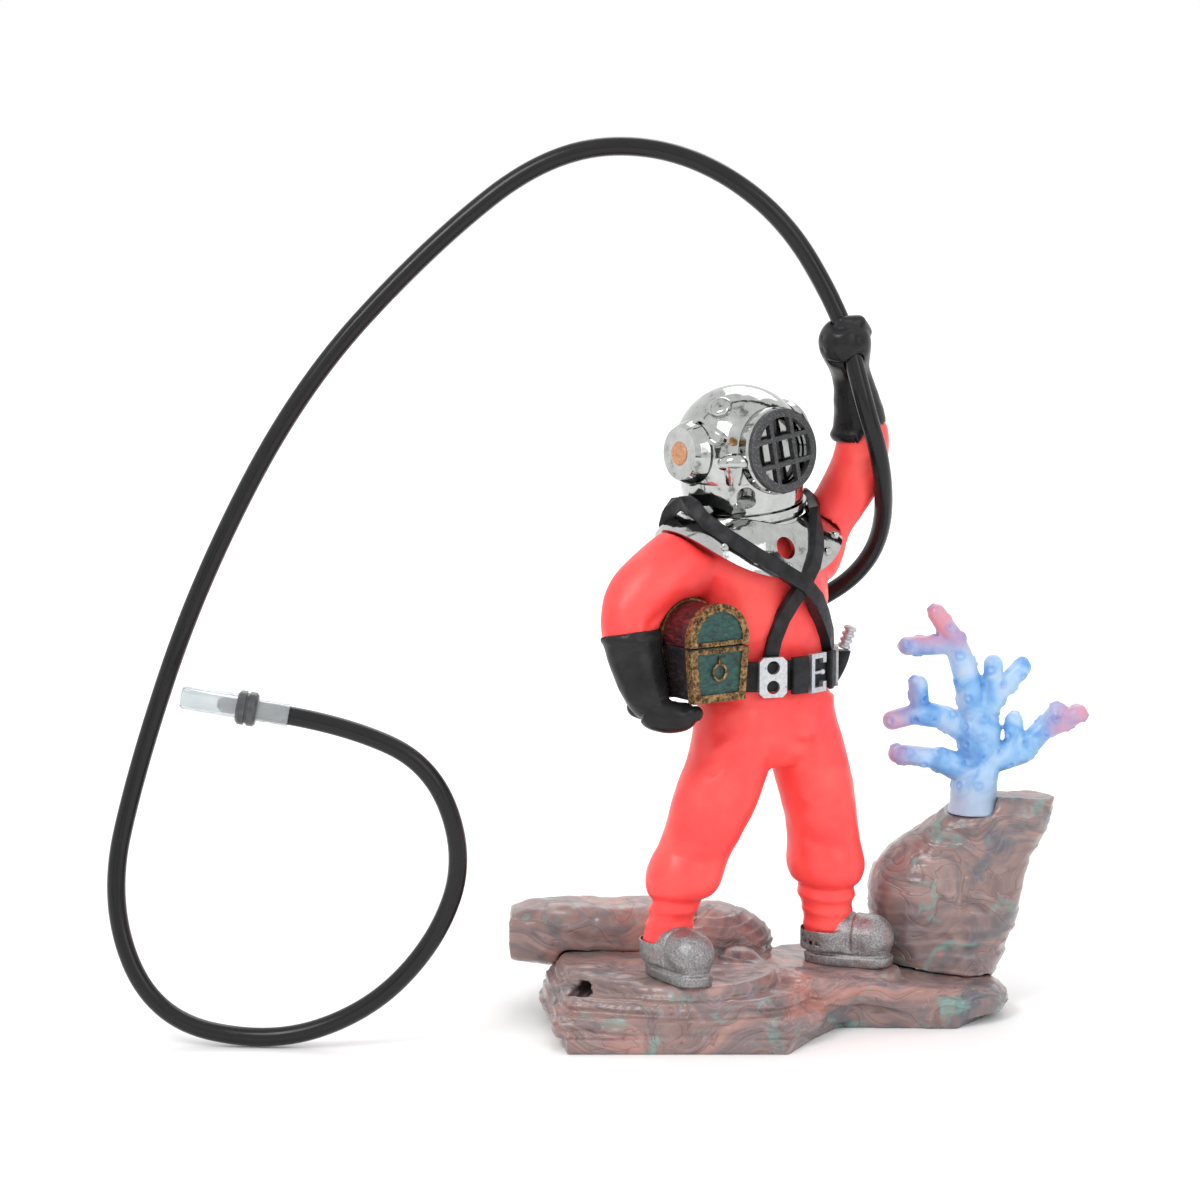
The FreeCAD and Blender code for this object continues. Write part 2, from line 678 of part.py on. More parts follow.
def make_breastplate():
    """Flanged plate over the shoulders, high at the arms and low at the front and back.

    Returns the plate, and the block that its outside encloses.
    """
    outside = stacked(PLATE)
    saddle_radius = 25.5
    axis_point = Vector(-9, -0.9, 92.6 + saddle_radius)
    saddle = Part.makeCylinder(saddle_radius, 80, axis_point - FRONT * 40, FRONT)
    neck_room = Part.makeCylinder(size("neck_radius") + 0.9, 30, NECK - NECK_AXIS * 3.3, NECK_AXIS)
    throat = Part.makeCylinder(size("neck_bore"), 30, NECK - NECK_AXIS * 14, NECK_AXIS)
    hole_point, hole_normal = on_trunk(PLATE, -1.1, 98.4)
    hole = Part.makeCylinder(2.1, 8, hole_point - hole_normal * 4, FRONT)
    block = outside.common(saddle)
    inside = stacked(PLATE, growth=-1.1)
    return without(block, [inside, neck_room, throat, hole]), largest(block)


def rivet(radius, height, point, normal, root=0.0):
    """Round head with a soft edge, standing on a surface or sunk into it by a root."""
    head = Part.makeCylinder(radius, height + root)
    rim = [edge for edge in head.Edges if abs(edge.CenterOfMass.z - height - root) < 1e-6]
    head = head.makeFillet(height * 0.6, rim[:1])
    head.Placement = Placement(point + normal * (0.02 - root), facing(normal))
    return head


def make_studs():
    """Bolt heads along the rim of the breastplate, as one group of separate solids."""
    heads = []
    for side, level in (
        (-13.6, 99.2), (-8.3, 96.4), (-2.0, 94.9), (4.8, 95.2), (9.6, 96.9), (14.4, 99.6),
    ):
        for front in (True, False):
            point, normal = on_trunk(PLATE, side, level, front)
            heads.append(rivet(0.85, 0.75, point, normal, 0.5))
    return Part.makeCompound(heads)


def make_helmet():
    """Bonnet: a ball on a short flared neck, hollow, open below and at its three windows."""
    lift = Placement(Vector(0, 0, number("dims.helmet_rise")), Rotation())
    low = Placement(Vector(0, 0, number("dims.seat_gap")), Rotation())
    ball = primitive("Sphere", "bonnet_ball", lift, Radius="dims.helmet_radius")
    skirt = primitive(
        "Cone", "bonnet_skirt", low, Radius1="dims.neck_radius",
        Radius2="dims.helmet_radius - 0.55", Height="dims.helmet_rise - 3.5",
    )
    hollow = primitive(
        "Sphere", "bonnet_hollow", lift, Radius="dims.helmet_radius - dims.helmet_wall",
    )
    throat = primitive(
        "Cylinder", "bonnet_throat", Placement(Vector(0, 0, -12), Rotation()),
        Radius="dims.neck_radius - dims.helmet_wall", Height="dims.helmet_rise + 10",
    )
    trim = primitive(
        "Cylinder", "bonnet_trim",
        Placement(Vector(0, 0, number("dims.seat_gap") - 20), Rotation()),
        Radius="dims.helmet_radius * 2", Height="20",
    )
    face = primitive(
        "Cylinder", "face_opening",
        Placement(lift.Base, Rotation(Vector(0, 1, 0), 90 - size("face_port_tilt"))),
        Radius="dims.face_port_radius", Height="dims.helmet_radius * 2",
    )
    sides = []
    for name, azimuth in (("right_opening", -93), ("left_opening", 93)):
        outward = HELMET.inverse().multiply(on_helmet(azimuth, size("side_port_lift"), 0))
        sides.append(primitive(
            "Cylinder", name, outward, Radius="dims.side_port_radius - 1.6",
            Height="dims.helmet_radius * 2",
        ))
    solid = fused("bonnet_solid", ball, skirt)
    voids = fused("bonnet_voids", hollow, throat, trim, face, *sides)
    keep(less("helmet_shell", solid, voids), "helmet_shell", HELMET)


def make_neck_ring():
    """Stepped ring on the breastplate, with the spigot that the bonnet turns on."""
    spigot = "dims.neck_radius - dims.helmet_wall - dims.running_gap"
    turned("neck_ring", [
        ("dims.neck_bore", "-3.2"), ("dims.neck_radius + 0.8", "-3.2"),
        ("dims.neck_radius + 0.8", "-2.0"), ("dims.neck_radius + 0.1", "-1.7"),
        ("dims.neck_radius + 0.1", "-1.2"), ("dims.neck_radius + 0.6", "-1.0"),
        ("dims.neck_radius + 0.6", "0"), (spigot, "0"), (spigot, "2.0"),
        (spigot + " - 0.6", "2.6"), ("dims.neck_bore", "2.6"),
    ], HELMET)


def face_placement(distance):
    return on_helmet(0, size("face_port_tilt"), distance)


def make_face_port():
    """Window frame, the guard in front of it and the bright plate behind."""
    inner = "dims.face_port_radius - 1.7"
    turned("face_port_ring", [
        (inner, "8.4"), ("dims.face_port_radius - 0.05", "8.4"),
        ("dims.face_port_radius - 0.05", "dims.face_port_reach - 0.5"),
        ("dims.face_port_radius - 0.5", "dims.face_port_reach"),
        (inner, "dims.face_port_reach"),
    ], face_placement(0))
    turned("face_plate", [
        ("0", "10.4"), (inner + " - 0.3", "10.4"), (inner + " - 0.3", "11.2"), ("0", "11.2"),
    ], face_placement(0))
    make_face_grille()


def grille_windows():
    """Outlines of the nine openings: squares, with the outer ones cut by the opening circle."""
    half_bar = size("grille_bar") / 2
    half_pitch = size("grille_pitch") / 2
    limit = size("grille_opening")
    spans = [
        (-limit, -half_pitch - half_bar), (-half_pitch + half_bar, half_pitch - half_bar),
        (half_pitch + half_bar, limit),
    ]
    disc = Part.Face(Part.Wire([Part.Circle(Vector(), UP, limit).toShape()]))
    faces = []
    for left, right in spans:
        for low, high in spans:
            square = Part.makePlane(right - left, high - low, Vector(left, low, 0))
            faces += square.common(disc).Faces
    return faces


def make_face_grille():
    radius, depth = size("grille_radius"), size("grille_depth")
    disc = Part.makeCylinder(radius, depth, Vector())
    rim = [edge for edge in disc.Edges if abs(edge.CenterOfMass.z - depth) < 1e-6]
    disc = disc.makeFillet(0.45, rim[:1])
    for window in grille_windows():
        disc = disc.cut(window.extrude(UP * (depth + 2)).translated(Vector(0, 0, -1)))
    feature("face_grille", disc, face_placement(size("face_port_reach") + 0.02))


def make_side_port(label, azimuth):
    """Truncated cone with a copper disc in its end."""
    placement = on_helmet(azimuth, size("side_port_lift"), 0)
    turned("side_port_" + label, [
        ("0", "12.6"), ("2", "12.6"), ("2", "9.8"), ("dims.side_port_radius - 1.65", "9.8"),
        ("dims.side_port_radius - 1.65", "dims.helmet_radius - 0.6"),
        ("dims.side_port_radius + 0.9", "dims.helmet_radius - 1"),
        ("dims.side_port_radius + 0.2", "dims.side_port_reach - 1"),
        ("dims.side_port_radius - 0.4", "dims.side_port_reach"), ("0", "dims.side_port_reach"),
    ], placement)
    turned("side_disc_" + label, [
        ("0", "dims.side_port_reach + 0.02"), ("dims.side_disc_radius", "dims.side_port_reach + 0.02"),
        ("dims.side_disc_radius - 0.3", "dims.side_port_reach + 0.4"), ("0", "dims.side_port_reach + 0.5"),
    ], placement)


def clear_of(shape, labels):
    """Cut a shape by finished sub-parts, so that it only touches them."""
    tools = [thing.Shape for thing in nodes if thing.Label in labels]
    return shape.cut(tools)


def make_helmet_fittings():
    """Small fittings on the bonnet: top port, exhaust, chin valve, clasp and bolt."""
    shell = ["helmet_shell", "side_port_right", "side_port_left", "face_port_ring"]
    ball = size("helmet_radius")

    knob_place = on_helmet(-64, 53, ball - 0.6)
    knob = Part.makeCylinder(2.4, 1.7)
    knob = knob.makeFillet(0.9, [e for e in knob.Edges if abs(e.CenterOfMass.z - 1.7) < 1e-6][:1])
    knob.Placement = knob_place
    feature("top_port_knob", largest(clear_of(knob, shell)))

    valve_place = on_helmet(-45, -4, ball - 0.7)
    horn = Part.makeCone(1.5, 2.3, 4.4, Vector(-0.5, -2.6, 0.4), Vector(0.12, 1, 0.14))
    crown = limb([(-2.9, 1.5, 0.9, 1.0), (-1.4, 1.9, 1.2, 1.6), (1.2, 2.0, 1.2, 1.6), (2.8, 1.6, 0.9, 0.9)])
    valve = union([horn, crown])
    valve.Placement = valve_place
    feature("exhaust_valve", largest(clear_of(valve, shell)))

    chin_place = on_helmet(-41, -32, ball + 0.5, roll=25)
    big = Part.makeCylinder(1.9, 2.0, Vector(1.2, 0.5, -0.6))
    small = Part.makeCylinder(1.4, 2.6, Vector(-1.2, -0.9, -0.6))
    chin = union([big, small])
    chin.Placement = chin_place
    feature("chin_valve", largest(clear_of(chin, shell + ["neck_ring"])))

    clasp_place = on_helmet(-70, 29, ball + 0.2, roll=-26)
    long, wide, bar = 4.2, 1.7, 0.75
    outer = union([
        Part.makeBox(2 * long - 2 * wide, 2 * wide, 1.2, Vector(-long + wide, -wide, -0.8)),
        Part.makeCylinder(wide, 1.2, Vector(-long + wide, 0, -0.8)),
        Part.makeCylinder(wide, 1.2, Vector(long - wide, 0, -0.8)),
    ])
    slot = union([
        Part.makeBox(2 * long - 2 * wide, 2 * (wide - bar), 3, Vector(-long + wide, bar - wide, -1)),
        Part.makeCylinder(wide - bar, 3, Vector(-long + wide, 0, -1)),
        Part.makeCylinder(wide - bar, 3, Vector(long - wide, 0, -1)),
    ])
    clasp = outer.cut(slot)
    clasp.Placement = clasp_place
    feature("port_clasp", largest(clear_of(clasp, shell)))

    bolt = Part.makeCylinder(0.8, 2.2)
    bolt.Placement = on_helmet(-45, 21, ball - 0.6)
    feature("port_bolt", largest(clear_of(bolt, shell)))


# ---------------------------------------------------------------- harness

def band(points, width, thickness):
    """Strap: ruled loft of flat sections; each point comes with its outward normal."""
    wires = []
    for index, (point, normal) in enumerate(points):
        before = points[max(index - 1, 0)][0]
        after = points[min(index + 1, len(points) - 1)][0]
        along = (after - before).normalize()
        across = along.cross(normal).normalize()
        lift = across.cross(along).normalize()
        half = across * (width / 2)
        low, high = point - lift * 0.7, point + lift * thickness
        wires.append(Part.makePolygon([low - half, low + half, high + half, high - half, low - half]))
    return Part.makeLoft(wires, True, True)


# Strap routes as (side, level, depth): depth is 1 on the front of the figure, -1 on its back,
# and between them where a strap crosses a shoulder.
RIGHT_STRAP = [
    (10.8, 75.9, 1), (9.2, 80.0, 1), (6.6, 84.5, 1), (3.6, 88.3, 1), (0.4, 91.3, 1),
    (-4.0, 94.4, 1), (-8.0, 97.2, 1), (-11.4, 100.2, 1), (-13.6, 103.2, 0.95),
    (-14.4, 105.4, 0.55), (-14.4, 106.2, 0.0), (-14.0, 105.2, -0.6), (-13.0, 102.6, -0.95),
    (-11.0, 99.8, -1), (-6.5, 95.8, -1), (-1.5, 91.0, -1), (3.0, 85.5, -1), (6.5, 78.5, -1),
    (7.4, 75.9, -1),
]
LEFT_STRAP = [
    (-5.4, 75.9, 1), (-4.6, 80.0, 1), (-3.0, 84.4, 1), (-1.2, 88.2, 1), (0.9, 91.3, 1),
    (4.2, 94.8, 1), (6.8, 98.0, 1), (8.6, 101.2, 1), (9.6, 104.2, 1.0),
    (14.2, 106.3, 0.5), (14.6, 106.9, 0.0), (14.2, 106.0, -0.6), (11.6, 103.4, -1),
    (9.0, 100.2, -1), (5.0, 96.0, -1), (-0.6, 91.6, -1), (-6.4, 87.6, -1), (-10.2, 83.4, -1),
    (-11.2, 79.0, -1), (-11.4, 75.9, -1),
]


def strap_points(route):
    """Points on the suit low down and on the breastplate high up, bridging the step between."""
    bridge_low, bridge_high = 83.0, 90.5
    plate_top = PLATE[-1][0]
    points = []
    for side, level, depth in route:
        share = min(max((level - bridge_low) / (bridge_high - bridge_low), 0), 1)
        front = depth > 0
        on_suit = on_trunk(SUIT, side, level, front)
        on_plate = on_trunk(PLATE, side, min(max(level, bridge_high), plate_top - 1.5), front)
        point = on_suit[0] * (1 - share) + on_plate[0] * share
        normal = (on_suit[1] * (1 - share) + on_plate[1] * share) * abs(depth)
        spine = section_at(PLATE, level)[0] + LEFT * side
        point = spine + (Vector(point.x, point.y, spine.z) - spine) * abs(depth)
        normal = normal + UP * (1 - abs(depth))
        points.append((Vector(point.x, point.y, level), normal.normalize()))
    return points


def make_straps(trunk):
    thickness = size("strap_thickness")
    under = band(strap_points(LEFT_STRAP), size("strap_width"), thickness)
    left = without(under, trunk)
    over = band(strap_points(RIGHT_STRAP), size("strap_width"), thickness + 0.9)
    right = without(over, trunk + [left])
    feature("shoulder_strap_left", left)
    feature("shoulder_strap_right", right)


BELT = [(0, -5.9, 0.0, 13.8, 9.4), (200, -5.9, 0.0, 13.8, 9.4)]


def on_belt(side, proud, front=True):
    """Placement on the outside of the belt, local +Z outward and local +Y up."""
    point, normal = on_trunk(BELT, side, size("waist_level"), front, size("belt_thickness") + proud)
    return Placement(point, facing(normal))


def make_belt(tools):
    """Leather belt with its own inner wall, a little clear of the suit and the trousers."""
    level, half = size("waist_level"), size("belt_height") / 2
    across, along = size("waist_across"), size("waist_along")
    outer_growth = size("belt_thickness")
    wires = []
    for rise, growth in ((-half, -0.25), (-half + 0.3, 0), (half - 0.3, 0), (half, -0.25)):
        centre = Vector(-5.9, 0, level + rise)
        wide, deep = across + outer_growth + growth, along + outer_growth + growth
        wires.append(ring(centre, LEFT, FRONT, wide, deep))
    clearance = 0.3
    inner = []
    for table, at in ((HIPS, level - half - 0.1), (BELT, level), (BELT, level + half + 0.1)):
        middle, wide, deep = section_at(table, at)
        inner.append(ring(middle, LEFT, FRONT, wide + clearance, deep + clearance))
    belt = without(Part.makeLoft(wires, True, True), [Part.makeLoft(inner, True, True)] + tools)
    feature("waist_belt", belt)
    return belt


def make_belt_fittings():
    half_width, half_height = "dims.weight_width / 2", "dims.weight_height / 2"
    corner = "0.9"
    corners = []
    for x_sign, y_sign in ((1, 1), (-1, 1), (-1, -1), (1, -1)):
        x, y = "%d * (%s)" % (x_sign, half_width), "%d * (%s)" % (y_sign, half_height)
        x_in, y_in = "%s - %d * %s" % (x, x_sign, corner), "%s - %d * %s" % (y, y_sign, corner)
        corners += [(x, y_in), (x_in, y)] if x_sign == y_sign else [(x_in, y), (x, y_in)]
    holes = [("0", "1.95", "dims.weight_hole"), ("0", "-1.95", "dims.weight_hole")]
    spots = {"weight_front_right": -6.0, "weight_front_left": 13.4}
    for label, side in spots.items():
        padded(label, corners, "dims.weight_thickness", on_belt(side, 0.05), holes)

    buckle_place = on_belt(4.7, 0.05)
    wide, tall = "dims.buckle_width / 2", "dims.buckle_height / 2"
    inner_x = "(dims.buckle_width / 2 - dims.buckle_bar)"
    inner_y = "(dims.buckle_height / 2 - dims.buckle_bar)"
    hook = "(dims.buckle_height / 2 - 2 * dims.buckle_bar)"
    padded("buckle_frame", [
        ("-" + wide, "-" + tall), (wide, "-" + tall), (wide, "-" + hook), (inner_x, "-" + hook),
        (inner_x, "-" + inner_y), ("-" + inner_x, "-" + inner_y), ("-" + inner_x, inner_y),
        (inner_x, inner_y), (inner_x, hook), (wide, hook), (wide, tall), ("-" + wide, tall),
    ], "dims.buckle_thickness", buckle_place)

    prong_place = buckle_place
    prong = union([
        Part.makeCylinder(0.35, 2.6, Vector(-1.25, 0, 0.5), Vector(1, 0, 0)),
        Part.makeSphere(0.6, Vector(1.45, 0, 0.6)),
    ])
    prong.Placement = prong_place
    feature("buckle_prong", prong)

    for label, side, width in (("belt_keeper", 0.0, 3.8), ("belt_loop", 9.7, 2.7)):
        keeper = Part.makeBox(width, 7.4, 1.2, Vector(-width / 2, -3.7, 0.05))
        keeper = keeper.makeFillet(0.4, [e for e in keeper.Edges if e.CenterOfMass.z > 1.2])
        keeper.Placement = on_belt(side, 0.0)
        feature(label, keeper)


BELT_FITTINGS = (
    "weight_front_right", "weight_front_left", "buckle_frame", "belt_keeper", "belt_loop",
)


def make_knife():
    bottom, top = Vector(7.6, 8.7, 67.0), Vector(11.9, 7.8, 80.0)
    axis = (top - bottom).normalize()
    rotation = facing(axis, FRONT)
    belt = [thing.Shape for thing in nodes if thing.Label in BELT_FITTINGS + ("waist_belt",)]
    sheath = Part.makeLoft(
        [
            ring(bottom, LEFT, FRONT, 0.9, 0.7), ring(bottom + axis * 3, LEFT, FRONT, 1.3, 1.9),
            ring(bottom + axis * 8.4, LEFT, FRONT, 1.3, 2.1),
        ],
        True, False,
    )
    feature("knife_sheath", without(sheath, belt))
    profile = [("0", "0")]
    for rib in range(4):
        foot = 0.4 + 1.25 * rib
        profile += [
            ("1.0", "%.2f" % foot), ("1.35", "%.2f" % (foot + 0.3)), ("1.35", "%.2f" % (foot + 0.7)),
            ("0.95", "%.2f" % (foot + 1.0)),
        ]
    profile[0] = ("0", "0.4")
    profile += [("0", "5.15")]
    turned("knife_handle", profile, Placement(bottom + axis * 8.5, rotation))


# ---------------------------------------------------------------- treasure chest

CHEST_MIDDLE = Vector(-6, 0, 0) + FRONT * 2.6 - LEFT * 21.0
CHEST = Placement(
    Vector(CHEST_MIDDLE.x, CHEST_MIDDLE.y, size("chest_level")), Rotation(UP, size("diver_heading"))
)


def chest_profile(growth=0.0, low=None, high=None):
    """End view of the whole chest as a face in the local YZ plane."""
    half, foot = size("chest_width") / 2 + growth, size("chest_foot") / 2 + growth
    seam = size("chest_height")
    shoulder = seam + size("lid_step")
    bottom = -growth
    arc = Part.Arc(
        Vector(0, half, shoulder), Vector(0, 0, shoulder + half), Vector(0, -half, shoulder)
    ).toShape()
    corners = [
        Vector(0, -half, shoulder), Vector(0, -half, seam), Vector(0, -foot, bottom),
        Vector(0, foot, bottom), Vector(0, half, seam), Vector(0, half, shoulder),
    ]
    edges = [Part.LineSegment(a, b).toShape() for a, b in zip(corners, corners[1:])]
    return Part.Face(Part.Wire([arc] + edges))


def chest_slice(start, end, growth=0.0):
    return chest_profile(growth).extrude(Vector(end - start, 0, 0)).translated(Vector(start, 0, 0))


def make_chest():
    half_length = size("chest_length") / 2
    foot, top = "dims.chest_foot / 2", "dims.chest_height - 0.05"
    flare = "(dims.chest_width - dims.chest_foot) / 2 / dims.chest_height"
    width = "(%s + %s * (%s))" % (foot, flare, top)
    padded("chest_body", [
        ("-%s" % foot, "0"), (foot, "0"), (width, top), ("-%s" % width, top),
    ], "dims.chest_length", CHEST, plane="YZ_Plane", midplane=True)
    whole = chest_slice(-half_length, half_length)
    seam_box = Part.makeBox(60, 60, 30, Vector(-30, -30, -30 + size("chest_height")))
    feature("chest_lid", whole.cut(seam_box), CHEST)

    proud, wide = size("band_proud"), size("band_width")
    seam = size("chest_height")
    bands = []
    for start in (-half_length, -wide / 2, half_length - wide):
        hoop = chest_slice(start, start + wide, proud)
        bands.append(hoop)
    hoops = union(bands).cut(chest_slice(-half_length - 2, half_length + 2))
    frames = []
    for end in (-1, 1):
        start = end * half_length if end > 0 else -half_length - proud
        plate = chest_slice(start, start + proud, proud)
        window = chest_slice(start - 1, start + proud + 1, -wide * 0.75)
        upper = window.cut(Part.makeBox(60, 60, 30, Vector(-30, -30, seam + wide * 0.7 - 30)))
        lower = window.common(Part.makeBox(60, 60, 30, Vector(-30, -30, seam - wide * 0.8 - 30)))
        frames.append(plate.cut([upper, lower]))
    gap = Part.makeBox(60, 60, 0.5, Vector(-30, -30, seam - 0.3))
    metal = union([hoops] + frames).cut(gap)
    above = [solid for solid in metal.Solids if solid.CenterOfMass.z > seam]
    below = [solid for solid in metal.Solids if solid.CenterOfMass.z < seam]
    feature("chest_bands_lid", Part.makeCompound(above), CHEST)
    feature("chest_bands_body", Part.makeCompound(below), CHEST)

    face = half_length + proud
    pull = Part.makeTorus(1.55, 0.28, Vector(half_length + 0.3, 0, 5.4), Vector(1, 0, 0))
    stem = Part.makeCylinder(0.25, 1.3, Vector(half_length + 0.27, 0, 7.1))
    feature("chest_ring_pull", union([pull, stem]), CHEST)

    nails = []
    half, foot_half = size("chest_width") / 2, size("chest_foot") / 2
    spots = [(-4.6, seam + 0.75), (-1.5, seam + 0.75), (1.5, seam + 0.75), (4.6, seam + 0.75)]
    spots += [(-4.6, seam - 0.85), (-1.5, seam - 0.85), (1.5, seam - 0.85), (4.6, seam - 0.85)]
    spots += [(-foot_half + 0.6, 0.7), (foot_half - 0.6, 0.7), (0, seam + size("lid_step") + half - 0.7)]
    for y, z in spots:
        for end in (-1, 1):
            nails.append(rivet(0.38, 0.3, Vector(end * face, y, z), Vector(end, 0, 0)))
    feature("chest_nails", Part.makeCompound(nails), CHEST)


# ---------------------------------------------------------------- air line

# Route of the hose from the inlet on the diver's back, round the left side, up in front of the
# raised forearm, through the fist, over and down in a wide loop to the floor, and up to the
# connector.  These are the corners of the route.
HOSE_ROUTE = [
    (-15.5, 11.5, 80.5), (-6.5, 15.5, 79.5), (4.5, 18.5, 83.0), (14.0, 16.0, 89.5),
    (18.5, 11.0, 99.0), (17.3, -1.0, 113.0), (13.0, -4.6, 126.5), (9.0, 0.0, 143.0),
    (-4.0, -2.0, 164.5), (-25.0, -0.5, 176.8), (-48.5, -1.5, 175.8), (-72.5, -2.5, 157.0),
    (-98.0, -6.0, 129.5), (-118.0, -9.0, 91.5), (-130.5, -10.5, 55.5), (-136.8, -13.8, 28.0),
    (-127.5, -18.5, 5.4), (-104.0, -20.2, 0.6), (-84.5, -21.5, 7.6), (-71.0, -22.5, 22.0),
    (-65.2, -23.5, 39.0), (-71.5, -24.5, 57.6), (-88.0, -24.5, 65.3), (-100.0, -24.5, 67.4),
]


def hose_wire():
    """Straight runs joined by tangent arcs as large as each pair of runs allows."""
    corners = [Vector(*point) for point in HOSE_ROUTE]
    edges = []
    last = corners[0]
    for index in range(1, len(corners) - 1):
        here = corners[index]
        to_last, to_next = corners[index - 1] - here, corners[index + 1] - here
        setback = 0.45 * min(to_last.Length, to_next.Length)
        half_turn = (math.pi - to_last.getAngle(to_next)) / 2
        radius = setback / math.tan(half_turn)
        print("hose corner %d: turn %.0f deg, radius %.1f mm" % (index, math.degrees(2 * half_turn), radius))
        start = here + to_last.normalize() * setback
        end = here + to_next.normalize() * setback
        inward = (to_last + to_next).normalize()
        middle = here + inward * (radius / math.cos(half_turn) - radius)
        edges.append(Part.LineSegment(last, start).toShape())
        edges.append(Part.Arc(start, middle, end).toShape())
        last = end
    edges.append(Part.LineSegment(last, corners[-1]).toShape())
    return Part.Wire(edges)


def hose_tube(wire, radius):
    start = Vector(*HOSE_ROUTE[0])
    along = (Vector(*HOSE_ROUTE[1]) - start).normalize()
    circle = Part.Wire([Part.Circle(start, along, radius).toShape()])
    return wire.makePipeShell([circle], True, False)


def make_hose():
    wire = hose_wire()
    outside, bore = size("hose_outside") / 2, size("hose_bore") / 2
    tube = hose_tube(wire, outside).cut(hose_tube(wire, bore))
    expected = math.pi * (outside ** 2 - bore ** 2) * wire.Length
    print("hose length %.1f mm, volume %.1f, section x length %.1f" % (wire.Length, tube.Volume, expected))
    feature("air_hose", largest(tube))
    return hand_passage(wire, outside + 0.12)


def hand_passage(wire, radius):
    """The stretch of the route that runs past the forearm and through the fist, as a solid."""
    fist = place("fist")
    stations = []
    for point in wire.discretize(Distance=2.5):
        if abs(point.x - fist.x) < 14 and abs(point.z - fist.z) < 26:
            stations.append((point.x, point.y, point.z, radius))
    return limb(stations)


HOSE_OUT = (Vector(*HOSE_ROUTE[1]) - Vector(*HOSE_ROUTE[0])).normalize()
HOSE_TIP = (Vector(*HOSE_ROUTE[-1]) - Vector(*HOSE_ROUTE[-2])).normalize()


def make_air_inlet():
    """Elbow on the diver's back, and the riser inside the body that leads up into the helmet."""
    root, start = place("inlet_root"), place("hose_start")
    corner = start - HOSE_OUT * 4.2
    stem_axis = (root - corner).normalize()
    barb_radius = size("hose_bore") / 2 - 0.04
    solid = union([
        Part.makeCylinder(1.75, (root - corner).Length + 2.0, corner, stem_axis),
        Part.makeSphere(1.75, corner),
        Part.makeCylinder(1.75, 4.15, corner, HOSE_OUT),
        Part.makeCylinder(2.2, 0.8, start - HOSE_OUT * 0.85, HOSE_OUT),
        Part.makeCylinder(barb_radius, 3.5, start - HOSE_OUT * 0.1, HOSE_OUT),
        Part.makeCylinder(3.0, 0.9, root - stem_axis * 0.9, stem_axis),
    ])
    passage = union([
        Part.makeCylinder(0.8, 12, corner, stem_axis),
        Part.makeSphere(0.8, corner),
        Part.makeCylinder(0.8, 12, corner, HOSE_OUT),
    ])
    return solid.cut(passage), corner, stem_axis


def make_riser(root, stem_axis, radius, grow=0.0):
    """Tube from the back of the body to the middle of the neck and up into the bonnet."""
    base = NECK - NECK_AXIS * 24
    inner_end = root + stem_axis * 2.05
    foot = inner_end - stem_axis * grow
    parts = [
        Part.makeCylinder(radius, (base - foot).Length, foot, base - foot),
        Part.makeSphere(radius, base),
        Part.makeCylinder(radius, 24 + 7 + grow, base, NECK_AXIS),
    ]
    return union(parts)


def make_connector():
    """Grey connector pushed into the hose end, its clear sleeve and the clear nozzle."""
    end = Placement(place("hose_end"), facing(HOSE_TIP))
    spigot = "dims.sleeve_length - dims.sleeve_overlap"
    flange = spigot + " + dims.connector_length"
    plug = "dims.nozzle_bore - dims.running_gap"
    turned("hose_sleeve", [
        ("dims.hose_outside / 2 + 0.03", "-dims.sleeve_overlap"),
        ("dims.sleeve_radius", "-dims.sleeve_overlap"), ("dims.sleeve_radius", spigot + " - 0.02"),
        ("dims.hose_outside / 2 + 0.03", spigot + " - 0.02"),
    ], end)
    turned("connector_body", [
        ("0.8", "-3"), ("dims.hose_bore / 2 - 0.04", "-3"), ("dims.hose_bore / 2 - 0.04", "0.02"),
        ("dims.hose_outside / 2 - 0.02", "0.02"), ("dims.hose_outside / 2 - 0.02", spigot),
        ("dims.connector_radius - 0.5", spigot), ("dims.connector_radius", spigot + " + 0.5"),
        ("dims.connector_radius", spigot + " + 1.7"), ("dims.connector_radius - 0.35", spigot + " + 1.8"),
        ("dims.connector_radius - 0.35", spigot + " + 2.2"), ("dims.connector_radius", spigot + " + 2.3"),
        ("dims.connector_radius", flange + " - 0.5"), ("dims.connector_radius - 0.5", flange),
        (plug, flange), (plug, flange + " + 2.8"), (plug + " - 0.6", flange + " + 3.6"),
        ("0.8", flange + " + 3.8"),
    ], end)
    root, tip = flange + " + 0.05", flange + " + dims.nozzle_length"
    turned("nozzle", [
        ("dims.nozzle_bore", root), ("dims.nozzle_root_radius", root),
        ("dims.nozzle_tip_radius", tip + " - 0.8 - dims.nozzle_land"),
        ("dims.nozzle_tip_radius", tip + " - 0.8"), ("dims.nozzle_tip_radius - 0.3", tip + " - 0.2"),
        ("dims.nozzle_tip_radius - 0.5", tip), ("dims.nozzle_bore", tip),
    ], end)


# ---------------------------------------------------------------- assembly

